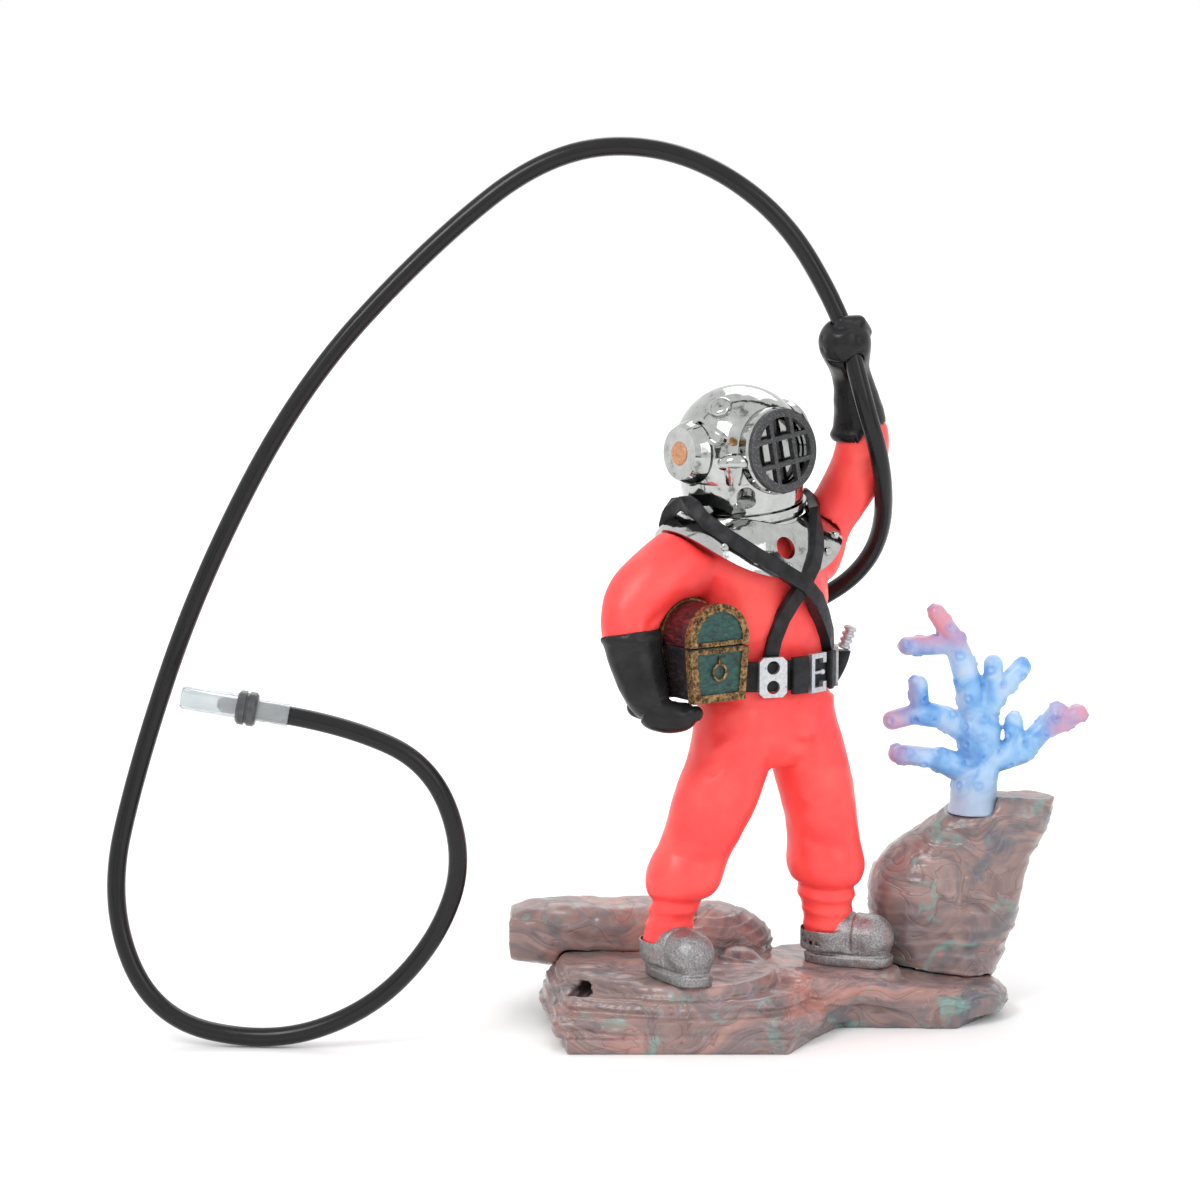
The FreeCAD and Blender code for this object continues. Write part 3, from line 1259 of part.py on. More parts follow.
def make_figure():
    """The suit, the gloves and boots, the air line and the rock that the figure stands on.

    Returns the solids that the harness lies on, and those that it has to keep clear of.
    """
    plate, plate_block = make_breastplate()
    hose_core = make_hose()
    elbow, corner, stem_axis = make_air_inlet()
    root = place("inlet_root")
    riser = make_riser(root, stem_axis, 1.6)
    riser_hole = make_riser(root, stem_axis, 1.7)
    riser_bore = make_riser(root, stem_axis, 0.9, 0.5)
    neck_room = Part.makeCylinder(size("neck_radius") + 0.9, 12, NECK - NECK_AXIS * 3.25, NECK_AXIS)
    stem_hole = Part.makeCylinder(1.78, 12, corner, stem_axis)
    chest_block = moved(chest_slice(-11, 11, size("band_proud") + 0.15), CHEST)

    trousers = make_trousers()
    torso = without(stacked(SUIT), [plate, neck_room, riser_hole, elbow, stem_hole])
    right_sleeve = without(limb(RIGHT_ARM), [plate_block, neck_room, torso, chest_block])
    left_sleeve = without(limb(LEFT_ARM), [plate_block, neck_room, torso])
    torso = without(torso, [chest_block])
    right_boot = make_boot("right", (0.5, -0.866, 0), RIGHT_LEG)
    left_boot = make_boot("left", (0.94, -0.34, 0), LEFT_LEG)
    base = make_rock_base([right_boot, left_boot])

    feature("rock_base", base)
    feature("rear_slab", make_rear_slab(base))
    feature("boulder", make_boulder(base))
    feature("coral", make_coral())
    studs = make_studs()
    feature("breastplate", without(plate, studs.Solids))
    feature("breastplate_studs", studs)
    feature("suit_torso", torso)
    feature("suit_trousers", trousers)
    feature("right_sleeve", right_sleeve)
    feature("left_sleeve", left_sleeve)
    feature("right_boot", right_boot)
    feature("left_boot", left_boot)
    feature("right_glove", make_right_glove(chest_block, right_sleeve))
    feature("left_glove", make_left_glove(left_sleeve, hose_core))
    feature("air_inlet_elbow", elbow)
    feature("air_riser", without(riser, [riser_bore, elbow]))
    return [plate_block, torso, trousers, right_sleeve, left_sleeve], studs, elbow, chest_block


def make_everything():
    make_helmet()
    make_neck_ring()
    make_face_port()
    for label, azimuth in (("right", -93), ("left", 93)):
        make_side_port(label, azimuth)
    doc.recompute()
    make_helmet_fittings()
    trunk, studs, elbow, chest_block = make_figure()
    belt = make_belt([chest_block])
    make_belt_fittings()
    doc.recompute()
    fittings = [thing.Shape for thing in nodes if thing.Label in BELT_FITTINGS]
    neck_room = Part.makeCylinder(size("neck_radius") + 0.9, 12, NECK - NECK_AXIS * 3.25, NECK_AXIS)
    make_straps(trunk + [belt, elbow, neck_room] + fittings + studs.Solids)
    make_knife()
    make_chest()
    make_connector()
    doc.recompute()


def check():
    """Stop unless every object computed and every sub-part is a valid solid."""
    broken = []
    for thing in doc.Objects:
        if "Invalid" in thing.State or "Error" in thing.State:
            broken.append(thing.Label)
    for thing in nodes:
        shape = thing.Shape
        if shape.isNull() or not shape.isValid() or not shape.Solids:
            broken.append(thing.Label)
    if broken:
        raise RuntimeError("no valid solid in " + ", ".join(broken))


def export():
    os.makedirs("parts", exist_ok=True)
    for thing in nodes:
        thing.Shape.exportStep("parts/%s.step" % thing.Label)
        print("%-22s %8.1f mm3" % (thing.Label, thing.Shape.Volume))


make_everything()
check()
export()
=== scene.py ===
import math

import bmesh
import bpy
import numpy as np
from mathutils import Matrix, Vector


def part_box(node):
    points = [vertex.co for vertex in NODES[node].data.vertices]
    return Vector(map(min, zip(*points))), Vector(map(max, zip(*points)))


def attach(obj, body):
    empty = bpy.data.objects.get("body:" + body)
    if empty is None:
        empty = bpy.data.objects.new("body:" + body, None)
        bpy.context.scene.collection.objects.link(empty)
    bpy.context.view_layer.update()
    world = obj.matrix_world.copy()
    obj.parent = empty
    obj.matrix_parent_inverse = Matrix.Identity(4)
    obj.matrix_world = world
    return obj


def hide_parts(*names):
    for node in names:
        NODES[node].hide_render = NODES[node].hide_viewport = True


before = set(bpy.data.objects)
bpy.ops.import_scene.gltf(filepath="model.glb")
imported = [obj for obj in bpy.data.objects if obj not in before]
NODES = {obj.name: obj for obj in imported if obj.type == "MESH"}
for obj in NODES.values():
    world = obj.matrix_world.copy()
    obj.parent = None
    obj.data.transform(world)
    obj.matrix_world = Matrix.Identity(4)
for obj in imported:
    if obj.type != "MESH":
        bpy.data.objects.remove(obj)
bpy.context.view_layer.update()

MM = 0.001
# Way the diver faces, degrees from +X.
DIVER_HEADING = -55
SCENE = bpy.context.scene


# ---------------------------------------------------------------- places read from the frame

def corners(node):
    """Lowest and highest corner of a CAD node, in millimetres."""
    low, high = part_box(node)
    return np.array(low) / MM, np.array(high) / MM


def vertices(node):
    mesh = NODES[node].data
    flat = np.empty(len(mesh.vertices) * 3)
    mesh.vertices.foreach_get("co", flat)
    return flat.reshape(-1, 3) / MM


# ---------------------------------------------------------------- camera and light

def make_camera():
    """Level with the figure's waist and 8 degrees above it, on a long lens."""
    target = Vector((-39.0, 0.0, 86.4)) * MM
    lift, distance = math.radians(8), 0.6667
    data = bpy.data.cameras.new("camera")
    data.lens = 100
    data.sensor_width = 36
    data.clip_start = 0.01
    camera = bpy.data.objects.new("camera", data)
    camera.location = target + Vector((0, -math.cos(lift), math.sin(lift))) * distance
    camera.rotation_euler = (math.radians(90) - lift, 0, 0)
    SCENE.collection.objects.link(camera)
    SCENE.camera = camera


def make_light(name, location, size, power):
    """Square area light that looks at the middle of the figure."""
    data = bpy.data.lights.new(name, "AREA")
    data.energy = power
    data.size = size
    light = bpy.data.objects.new(name, data)
    light.location = location
    aim = Vector((-0.02, 0, 0.09)) - light.location
    light.rotation_euler = aim.to_track_quat("-Z", "Y").to_euler()
    SCENE.collection.objects.link(light)


def make_studio():
    world = bpy.data.worlds.new("studio")
    SCENE.world = world
    world.use_nodes = True
    background = world.node_tree.nodes["Background"]
    background.inputs["Color"].default_value = (1, 1, 1, 1)
    background.inputs["Strength"].default_value = 1.0
    SCENE.view_settings.view_transform = "Standard"
    make_light("key", (-0.45, -0.55, 0.75), 0.35, 3.0)
    make_light("fill", (0.55, -0.6, 0.45), 0.5, 1.2)
    make_light("back", (0.1, 0.6, 0.7), 0.5, 1.5)

    mesh = bpy.data.meshes.new("floor")
    mesh.from_pydata([(-3, -3, 0), (3, -3, 0), (3, 3, 0), (-3, 3, 0)], [], [(0, 1, 2, 3)])
    floor = bpy.data.objects.new("floor", mesh)
    SCENE.collection.objects.link(floor)
    floor.data.materials.append(floor_material())
    make_card("card_right", (0.62, -0.35, 0.26), (0.16, 0.5))
    make_card("card_left", (-0.55, -0.62, 0.16), (0.12, 0.3))
    make_card("card_front", (0.02, -0.95, 0.02), (0.7, 0.1))


def make_card(name, location, size):
    """Dark studio card outside the picture, for the polished metal to reflect."""
    wide, tall = size[0] / 2, size[1] / 2
    mesh = bpy.data.meshes.new(name)
    mesh.from_pydata(
        [(-wide, -tall, 0), (wide, -tall, 0), (wide, tall, 0), (-wide, tall, 0)], [], [(0, 1, 2, 3)]
    )
    card = bpy.data.objects.new(name, mesh)
    card.location = location
    aim = Vector((-0.01, 0, 0.116)) - card.location
    card.rotation_euler = aim.to_track_quat("Z", "Y").to_euler()
    SCENE.collection.objects.link(card)
    mesh.materials.append(card_material())
    card.visible_camera = False
    card.visible_shadow = False
    card.visible_diffuse = False


# ---------------------------------------------------------------- material tools

class Material:
    """Short way to build a node material on the Principled shader."""

    def __init__(self, name, colour, roughness, metallic=0.0, **settings):
        self.material = bpy.data.materials.new(name)
        self.material.use_nodes = True
        self.tree = self.material.node_tree
        self.shader = self.tree.nodes["Principled BSDF"]
        self.place = self.node("ShaderNodeTexCoord").outputs["Object"]
        self.set(self.shader, "Base Color", (*colour, 1))
        self.set(self.shader, "Roughness", roughness)
        self.set(self.shader, "Metallic", metallic)
        for key, value in settings.items():
            self.set(self.shader, key.replace("_", " "), value)
        self.height = None

    def node(self, kind):
        return self.tree.nodes.new(kind)

    def set(self, node, key, value):
        """Set a socket to a plain value, or link it to another node's output."""
        if isinstance(value, bpy.types.NodeSocket):
            self.tree.links.new(value, node.inputs[key])
        else:
            node.inputs[key].default_value = value

    def noise(self, grain, detail=3.0, distortion=0.0, rough=0.5, place=None, stretch=None):
        """Noise whose features are about grain millimetres across."""
        node = self.node("ShaderNodeTexNoise")
        place = place or self.place
        if stretch:
            mapping = self.node("ShaderNodeMapping")
            self.set(mapping, "Vector", place)
            self.set(mapping, "Scale", stretch)
            place = mapping.outputs["Vector"]
        self.set(node, "Vector", place)
        self.set(node, "Scale", 1 / (grain * MM))
        self.set(node, "Detail", detail)
        self.set(node, "Roughness", rough)
        self.set(node, "Distortion", distortion)
        return node.outputs["Fac"]

    def warped(self, grain, amount):
        """Coordinates pushed about by a coarse noise, for swirls."""
        node = self.node("ShaderNodeTexNoise")
        self.set(node, "Vector", self.place)
        self.set(node, "Scale", 1 / (grain * MM))
        self.set(node, "Detail", 2.0)
        shift = self.node("ShaderNodeVectorMath")
        shift.operation = "MULTIPLY_ADD"
        self.set(shift, 0, node.outputs["Color"])
        self.set(shift, 1, (amount * MM,) * 3)
        self.set(shift, 2, self.place)
        return shift.outputs["Vector"]

    def ramp(self, factor, stops):
        """Colour ramp; stops are (position, colour)."""
        node = self.node("ShaderNodeValToRGB")
        node.color_ramp.interpolation = "LINEAR"
        elements = node.color_ramp.elements
        while len(elements) < len(stops):
            elements.new(0.5)
        for element, (position, colour) in zip(elements, stops):
            element.position = position
            element.color = (*colour, 1)
        self.set(node, "Fac", factor)
        return node.outputs["Color"]

    def band(self, factor, low, high, to_low=0.0, to_high=1.0):
        """Rescale a factor, clamped."""
        node = self.node("ShaderNodeMapRange")
        self.set(node, "Value", factor)
        for key, value in zip(("From Min", "From Max", "To Min", "To Max"), (low, high, to_low, to_high)):
            self.set(node, key, value)
        return node.outputs["Result"]

    def math(self, operation, first, second=0.0):
        node = self.node("ShaderNodeMath")
        node.operation = operation
        self.set(node, 0, first)
        self.set(node, 1, second)
        return node.outputs["Value"]

    def mix(self, factor, first, second):
        node = self.node("ShaderNodeMix")
        node.data_type = "RGBA"
        for index, value in ((0, factor), (6, first), (7, second)):
            if isinstance(value, bpy.types.NodeSocket):
                self.tree.links.new(value, node.inputs[index])
            else:
                node.inputs[index].default_value = value if index == 0 else (*value, 1)
        return node.outputs[2]

    def axis(self, letter):
        node = self.node("ShaderNodeSeparateXYZ")
        self.set(node, "Vector", self.place)
        return node.outputs[letter]

    def attribute(self, name):
        node = self.node("ShaderNodeAttribute")
        node.attribute_name = name
        return node.outputs["Fac"]

    def colour(self, value):
        self.set(self.shader, "Base Color", value)

    def roughness(self, factor, low, high, smooth, rough):
        self.set(self.shader, "Roughness", self.band(factor, low, high, smooth, rough))

    def bump(self, height, depth, strength=1.0):
        """Raise the surface by height times depth millimetres; calls add up."""
        node = self.node("ShaderNodeBump")
        self.set(node, "Height", height)
        self.set(node, "Distance", depth * MM)
        self.set(node, "Strength", strength)
        if self.height is not None:
            self.set(node, "Normal", self.height)
        self.height = node.outputs["Normal"]
        self.set(self.shader, "Normal", self.height)


def floor_material():
    """White paper that glows a little towards the back, so that it meets the background."""
    build = Material("floor_paper", (0.93, 0.93, 0.93), 0.9)
    build.colour(build.ramp(build.noise(60), [(0.4, (0.925,) * 3), (0.6, (0.935,) * 3)]))
    build.set(build.shader, "Emission Color", (1, 1, 1, 1))
    glow_starts, glow_full, glow = 0.12, 0.6, 0.3
    fade = build.band(build.axis("Y"), glow_starts, glow_full, 0.0, glow)
    build.set(build.shader, "Emission Strength", fade)
    return build.material


def card_material():
    build = Material("dark_card", (0.02, 0.02, 0.02), 0.8)
    return build.material


# ---------------------------------------------------------------- materials

def suit_material():
    build = Material("suit_red", (1, 0.06, 0.055), 0.42, Subsurface_Weight=0.12, Coat_Weight=0.12)
    build.set(build.shader, "Subsurface Scale", 0.0015)
    build.set(build.shader, "Subsurface Radius", (1.0, 0.35, 0.3))
    build.set(build.shader, "Coat Roughness", 0.32)
    soft = build.noise(9, 4)
    build.colour(build.ramp(soft, [
        (0.25, (0.93, 0.040, 0.040)), (0.5, (1.0, 0.060, 0.056)), (0.75, (1.0, 0.092, 0.078)),
    ]))
    build.roughness(build.noise(3.5, 5), 0.3, 0.7, 0.34, 0.52)
    build.bump(build.noise(2.6, 4), 0.06)
    build.bump(build.noise(0.35, 3), 0.010)
    return build.material


def glove_material():
    build = Material("glove_black", (0.012, 0.012, 0.013), 0.34, Specular_IOR_Level=0.25)
    build.colour(build.ramp(build.noise(5), [(0.35, (0.008,) * 3), (0.7, (0.018, 0.018, 0.02))]))
    build.roughness(build.noise(2.2, 5), 0.3, 0.7, 0.2, 0.42)
    build.bump(build.noise(1.6, 4), 0.05)
    build.bump(build.noise(0.3, 2), 0.008)
    return build.material


def boot_material():
    build = Material("boot_silver", (0.42, 0.41, 0.41), 0.42, 0.75)
    speck = build.noise(0.35, 6, rough=0.75)
    patches = build.noise(3.5, 3)
    paint = build.ramp(speck, [
        (0.3, (0.10, 0.095, 0.10)), (0.48, (0.26, 0.255, 0.26)), (0.7, (0.52, 0.51, 0.51)),
    ])
    red = build.band(patches, 0.58, 0.72, 0.0, 0.35)
    build.colour(build.mix(red, paint, (0.40, 0.16, 0.16)))
    build.roughness(speck, 0.3, 0.7, 0.3, 0.58)
    build.bump(speck, 0.05)
    build.bump(patches, 0.12)
    return build.material


def chrome_material():
    build = Material("chrome", (0.80, 0.81, 0.80), 0.07, 1.0)
    stain = build.noise(3.0, 6, rough=0.65)
    build.colour(build.ramp(stain, [
        (0.30, (0.14, 0.14, 0.13)), (0.42, (0.44, 0.45, 0.44)), (0.8, (0.58, 0.59, 0.58)),
    ]))
    build.roughness(build.noise(1.6, 5), 0.35, 0.75, 0.04, 0.16)
    build.bump(build.noise(4.5, 2), 0.16)
    build.bump(build.noise(0.9, 4), 0.014)
    return build.material


def gunmetal_material():
    build = Material("gunmetal", (0.07, 0.07, 0.075), 0.45, 0.85)
    grit = build.noise(0.28, 6, rough=0.8)
    build.colour(build.ramp(grit, [
        (0.35, (0.03, 0.03, 0.032)), (0.55, (0.10, 0.10, 0.105)), (0.72, (0.42, 0.42, 0.42)),
    ]))
    build.roughness(grit, 0.3, 0.7, 0.34, 0.6)
    build.bump(grit, 0.07)
    return build.material


def copper_material():
    build = Material("copper", (0.55, 0.27, 0.14), 0.5, 0.45)
    grit = build.noise(0.45, 5, rough=0.7)
    build.colour(build.ramp(grit, [
        (0.32, (0.10, 0.045, 0.03)), (0.42, (0.50, 0.23, 0.12)), (0.75, (0.74, 0.42, 0.24)),
    ]))
    build.bump(grit, 0.08)
    return build.material


def gold_material():
    build = Material("worn_gold", (0.5, 0.34, 0.14), 0.4, 0.7)
    wear = build.noise(0.9, 6, rough=0.75)
    build.colour(build.ramp(wear, [
        (0.36, (0.014, 0.010, 0.008)), (0.47, (0.13, 0.070, 0.028)), (0.58, (0.36, 0.21, 0.085)),
        (0.80, (0.58, 0.38, 0.18)),
    ]))
    build.roughness(wear, 0.3, 0.7, 0.6, 0.32)
    build.bump(wear, 0.10)
    return build.material


def silver_material():
    build = Material("satin_silver", (0.55, 0.56, 0.58), 0.38, 0.8)
    wear = build.noise(0.7, 6, rough=0.7)
    build.colour(build.ramp(wear, [
        (0.30, (0.05, 0.05, 0.05)), (0.37, (0.50, 0.51, 0.53)), (0.75, (0.70, 0.71, 0.73)),
    ]))
    build.roughness(wear, 0.3, 0.7, 0.5, 0.32)
    build.bump(wear, 0.04)
    return build.material


def strap_material():
    build = Material("strap_black", (0.014, 0.014, 0.015), 0.46, Specular_IOR_Level=0.2)
    build.colour(build.ramp(build.noise(2.5, 4), [(0.35, (0.010,) * 3), (0.7, (0.026, 0.026, 0.03))]))
    build.roughness(build.noise(1.2, 5), 0.3, 0.7, 0.34, 0.52)
    build.bump(build.noise(0.8, 4), 0.03)
    return build.material


def chest_material(name, plank_tones):
    """Streaked paint: dark green on the two end panels, the plank colours between them."""
    build = Material(name, (0.05, 0.03, 0.03), 0.38)
    ends = build.noise(1.6, 6, 0.6, 0.65, stretch=(1, 1, 2.2))
    green = build.ramp(ends, [
        (0.3, (0.003, 0.008, 0.009)), (0.48, (0.008, 0.050, 0.044)), (0.62, (0.012, 0.092, 0.070)),
        (0.8, (0.045, 0.16, 0.125)),
    ])
    grain = build.noise(1.3, 6, 0.5, 0.7, stretch=(0.45, 0.6, 1.8))
    planks = build.ramp(grain, plank_tones)
    build.colour(build.mix(build.attribute("end_panel"), planks, green))
    build.roughness(grain, 0.3, 0.7, 0.28, 0.5)
    build.bump(grain, 0.16)
    return build.material


RED_PLANKS = [
    (0.34, (0.006, 0.004, 0.005)), (0.5, (0.045, 0.007, 0.009)), (0.64, (0.16, 0.012, 0.014)),
    (0.8, (0.24, 0.045, 0.03)),
]
BLACK_PLANKS = [
    (0.34, (0.004, 0.004, 0.005)), (0.55, (0.014, 0.011, 0.012)), (0.72, (0.05, 0.02, 0.02)),
    (0.85, (0.10, 0.04, 0.03)),
]


def hose_material():
    build = Material("hose_black", (0.008, 0.008, 0.009), 0.24, Specular_IOR_Level=0.3)
    dust = build.noise(0.5, 6, rough=0.85)
    build.colour(build.ramp(dust, [(0.66, (0.009, 0.009, 0.010)), (0.80, (0.09, 0.09, 0.095))]))
    build.roughness(build.noise(4, 5), 0.3, 0.7, 0.14, 0.3)
    build.bump(build.noise(6, 2), 0.05)
    return build.material


def clear_material():
    build = Material(
        "frosted_clear", (0.80, 0.84, 0.85), 0.16, Transmission_Weight=0.78, IOR=1.42
    )
    haze = build.noise(5.0, 2)
    build.colour(build.ramp(haze, [(0.3, (0.76, 0.80, 0.82)), (0.7, (0.86, 0.89, 0.90))]))
    build.roughness(haze, 0.3, 0.7, 0.12, 0.22)
    build.bump(haze, 0.02)
    return build.material


def grey_material():
    build = Material("dark_grey", (0.05, 0.052, 0.056), 0.3, Coat_Weight=0.2)
    build.colour(build.ramp(build.noise(2, 4), [
        (0.35, (0.035, 0.036, 0.04)), (0.7, (0.075, 0.078, 0.085)),
    ]))
    build.bump(build.noise(0.6, 3), 0.02)
    return build.material


ROCK_TONES = [
    (0.20, (0.060, 0.040, 0.045)), (0.34, (0.170, 0.110, 0.105)), (0.43, (0.270, 0.175, 0.160)),
    (0.50, (0.180, 0.135, 0.138)), (0.57, (0.330, 0.215, 0.195)), (0.65, (0.220, 0.165, 0.168)),
    (0.74, (0.300, 0.255, 0.270)), (0.84, (0.110, 0.105, 0.130)),
]


def rock_material(name, warm, cool):
    """Marbled, glazed resin: warm is how much orange it shows, cool how much teal and slate."""
    build = Material(name, (0.2, 0.14, 0.13), 0.30, Coat_Weight=0.4)
    build.set(build.shader, "Coat Roughness", 0.14)
    swirl = build.warped(24, 34)
    marble = build.noise(24, 5, 0.9, 0.5, swirl, (0.8, 0.8, 2.6))
    colour = build.ramp(marble, ROCK_TONES)
    glow = build.noise(20, 2, 0.6, place=swirl, stretch=(0.8, 0.8, 2.2))
    hot = build.band(glow, 0.60 - 0.08 * warm, 0.72, 0.0, 0.75)
    colour = build.mix(hot, colour, (0.50, 0.220, 0.175))
    slate_patches = build.noise(17, 3, 1.2, place=build.warped(22, 30))
    slate = build.band(slate_patches, 0.60 - 0.12 * cool, 0.68, 0, 0.8)
    colour = build.mix(slate, colour, (0.085, 0.105, 0.125))
    teal_patches = build.noise(12, 4, 1.5, place=build.warped(9, 20))
    teal = build.band(teal_patches, 0.62 - 0.08 * cool, 0.72, 0, 0.8)
    colour = build.mix(teal, colour, (0.16, 0.33, 0.29))
    veins = build.noise(19, 3, 1.2, 0.5, swirl, (0.8, 0.8, 2.6))
    thread = build.math("ABSOLUTE", build.math("SUBTRACT", veins, 0.5))
    colour = build.mix(build.band(thread, 0.0, 0.010, 0.45, 0.0), colour, (0.10, 0.020, 0.030))
    lilac = build.math("ABSOLUTE", build.math("SUBTRACT", veins, 0.57))
    colour = build.mix(build.band(lilac, 0.0, 0.007, 0.3, 0.0), colour, (0.42, 0.36, 0.46))
    build.colour(colour)
    build.roughness(build.noise(3, 5), 0.3, 0.7, 0.26, 0.46)
    build.bump(marble, 0.6)
    build.bump(build.band(thread, 0.0, 0.03), 0.08)
    build.bump(build.noise(0.8, 5), 0.03)
    return build.material


def coral_material():
    build = Material(
        "coral", (0.4, 0.6, 0.9), 0.36, Subsurface_Weight=0.15, Coat_Weight=0.1
    )
    build.set(build.shader, "Subsurface Scale", 0.0025)
    build.set(build.shader, "Subsurface Radius", (0.8, 0.9, 1.0))
    cloud = build.noise(7, 4, 0.8)
    blue = build.ramp(cloud, [
        (0.30, (0.06, 0.22, 0.56)), (0.44, (0.17, 0.38, 0.68)), (0.56, (0.32, 0.51, 0.74)),
        (0.72, (0.46, 0.56, 0.72)),
    ])
    pink = build.math("MULTIPLY", build.attribute("tip"), build.band(build.noise(6, 2), 0.3, 0.6, 0.5, 1.0))
    colour = build.mix(pink, blue, (0.62, 0.27, 0.34))
    foot = build.band(build.axis("Z"), 0.043, 0.050, 0.8, 0.0)
    colour = build.mix(foot, colour, (0.40, 0.46, 0.56))
    colour = build.mix(build.math("MULTIPLY", build.attribute("polyp"), 0.5), colour, (0.10, 0.30, 0.70))
    build.colour(colour)
    build.bump(build.noise(1.5, 4), 0.06)
    return build.material


# ---------------------------------------------------------------- mesh tools

def hashed(cells, seed):
    x, y, z = (cells[..., axis].astype(np.int64) for axis in range(3))
    mixed = (x * 374761393 + y * 668265263 + z * 1440662683 + seed * 974634777) & 0xFFFFFFFF
    mixed = ((mixed ^ (mixed >> 13)) * 1274126177) & 0xFFFFFFFF
    return ((mixed ^ (mixed >> 16)) & 0xFFFF) / 65535.0


def lumps(points, grain, seed=0, octaves=1):
    """Smooth noise between -1 and 1 with features about grain millimetres across."""
    total = np.zeros(len(points))
    weight = 1.0
    for octave in range(octaves):
        scaled = points / (grain / 2 ** octave)
        base = np.floor(scaled)
        share = scaled - base
        share = share * share * (3 - 2 * share)
        value = np.zeros(len(points))
        for corner in range(8):
            step = np.array([corner & 1, corner >> 1 & 1, corner >> 2 & 1])
            blend = np.prod(np.where(step == 1, share, 1 - share), axis=1)
            value += blend * hashed(base + step, seed + octave)
        total += weight * (2 * value - 1)
        weight *= 0.5
    return total


class Skin:
    """A dense, smooth mesh that follows CAD nodes and extra bars, ready to be sculpted."""

    def __init__(self, name, nodes, voxel, passes=3, extras=()):
        work = bmesh.new()
        for node in nodes:
            work.from_mesh(NODES[node].data)
        for extra in extras:
            work.from_mesh(extra)
            bpy.data.meshes.remove(extra)
        mesh = bpy.data.meshes.new(name)
        work.to_mesh(mesh)
        work.free()
        self.object = bpy.data.objects.new(name, mesh)
        SCENE.collection.objects.link(self.object)
        remesh = self.object.modifiers.new("skin", "REMESH")
        remesh.mode = "VOXEL"
        remesh.voxel_size = voxel * MM
        depsgraph = bpy.context.evaluated_depsgraph_get()
        final = bpy.data.meshes.new_from_object(self.object.evaluated_get(depsgraph))
        self.object.modifiers.clear()
        self.object.data = final
        bpy.data.meshes.remove(mesh)
        final.name = name
        final.polygons.foreach_set("use_smooth", [True] * len(final.polygons))
        self.nodes = nodes
        self.read()
        self.smooth(passes)

    def read(self):
        mesh = self.object.data
        flat = np.empty(len(mesh.vertices) * 3)
        mesh.vertices.foreach_get("co", flat)
        self.points = flat.reshape(-1, 3) / MM
        pairs = np.empty(len(mesh.edges) * 2, np.int64)
        mesh.edges.foreach_get("vertices", pairs)
        self.pairs = pairs.reshape(-1, 2)
        self.count = np.bincount(self.pairs.ravel(), minlength=len(self.points))

    def write(self):
        self.object.data.vertices.foreach_set("co", (self.points * MM).ravel())
        self.object.data.update()

    def normals(self):
        self.write()
        mesh = self.object.data
        flat = np.empty(len(mesh.vertices) * 3)
        mesh.vertex_normals.foreach_get("vector", flat)
        return flat.reshape(-1, 3)

    def smooth(self, passes, mask=1.0):
        first, second = self.pairs[:, 0], self.pairs[:, 1]
        size = len(self.points)
        for _ in range(passes):
            mean = np.empty_like(self.points)
            for axis in range(3):
                values = self.points[:, axis]
                mean[:, axis] = np.bincount(first, values[second], size)
                mean[:, axis] += np.bincount(second, values[first], size)
            mean /= np.maximum(self.count, 1)[:, None]
            step = 0.5 * np.broadcast_to(mask, size)[:, None]
            self.points += (mean - self.points) * step

    def push(self, amount):
        """Move each point along its normal by amount millimetres."""
        self.points += self.normals() * np.broadcast_to(amount, len(self.points))[:, None]

    def mark(self, name, values):
        attribute = self.object.data.attributes.new(name, "FLOAT", "POINT")
        attribute.data.foreach_set("value", values.astype(np.float32))

    def done(self, body, slot, *materials):
        self.write()
        for material in materials:
            self.object.data.materials.append(material)
        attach(self.object, body)
        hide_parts(*self.nodes)
        return self.object


def bar(points, radii):
    """Closed mesh of balls joined by cones, for a skin to take in; millimetres."""
    work = bmesh.new()
    points = [Vector(point) * MM for point in points]
    radii = [radius * MM for radius in radii]
    for point, radius in zip(points, radii):
        bmesh.ops.create_icosphere(
            work, subdivisions=3, radius=radius, matrix=Matrix.Translation(point)
        )
    for index in range(len(points) - 1):
        start, end = points[index], points[index + 1]
        turn = (end - start).to_track_quat("Z", "Y").to_matrix().to_4x4()
        bmesh.ops.create_cone(
            work, cap_ends=True, segments=20, radius1=radii[index], radius2=radii[index + 1],
            depth=(end - start).length, matrix=Matrix.Translation((start + end) / 2) @ turn,
        )
    mesh = bpy.data.meshes.new("bar")
    work.to_mesh(mesh)
    work.free()
    return mesh


def distance_to_segment(points, start, end):
    start, end = np.array(start, float), np.array(end, float)
    run = end - start
    share = np.clip((points - start) @ run / (run @ run), 0, 1)
    return np.linalg.norm(points - start - share[:, None] * run, axis=1), share


def folds(points, lines):
    """Soft ridges (positive) and creases (negative): (start, end, width, height) in millimetres."""
    total = np.zeros(len(points))
    for start, end, width, height in lines:
        away, share = distance_to_segment(points, start, end)
        fade = np.sin(np.pi * np.clip(share, 0.04, 0.96)) ** 0.5
        total += height * fade * np.exp(-(away / width) ** 2)
    return total


def rise(values, low, high):
    """0 below low, 1 above high, smooth between."""
    share = np.clip((values - low) / (high - low), 0, 1)
    return share * share * (3 - 2 * share)


# ---------------------------------------------------------------- air hose

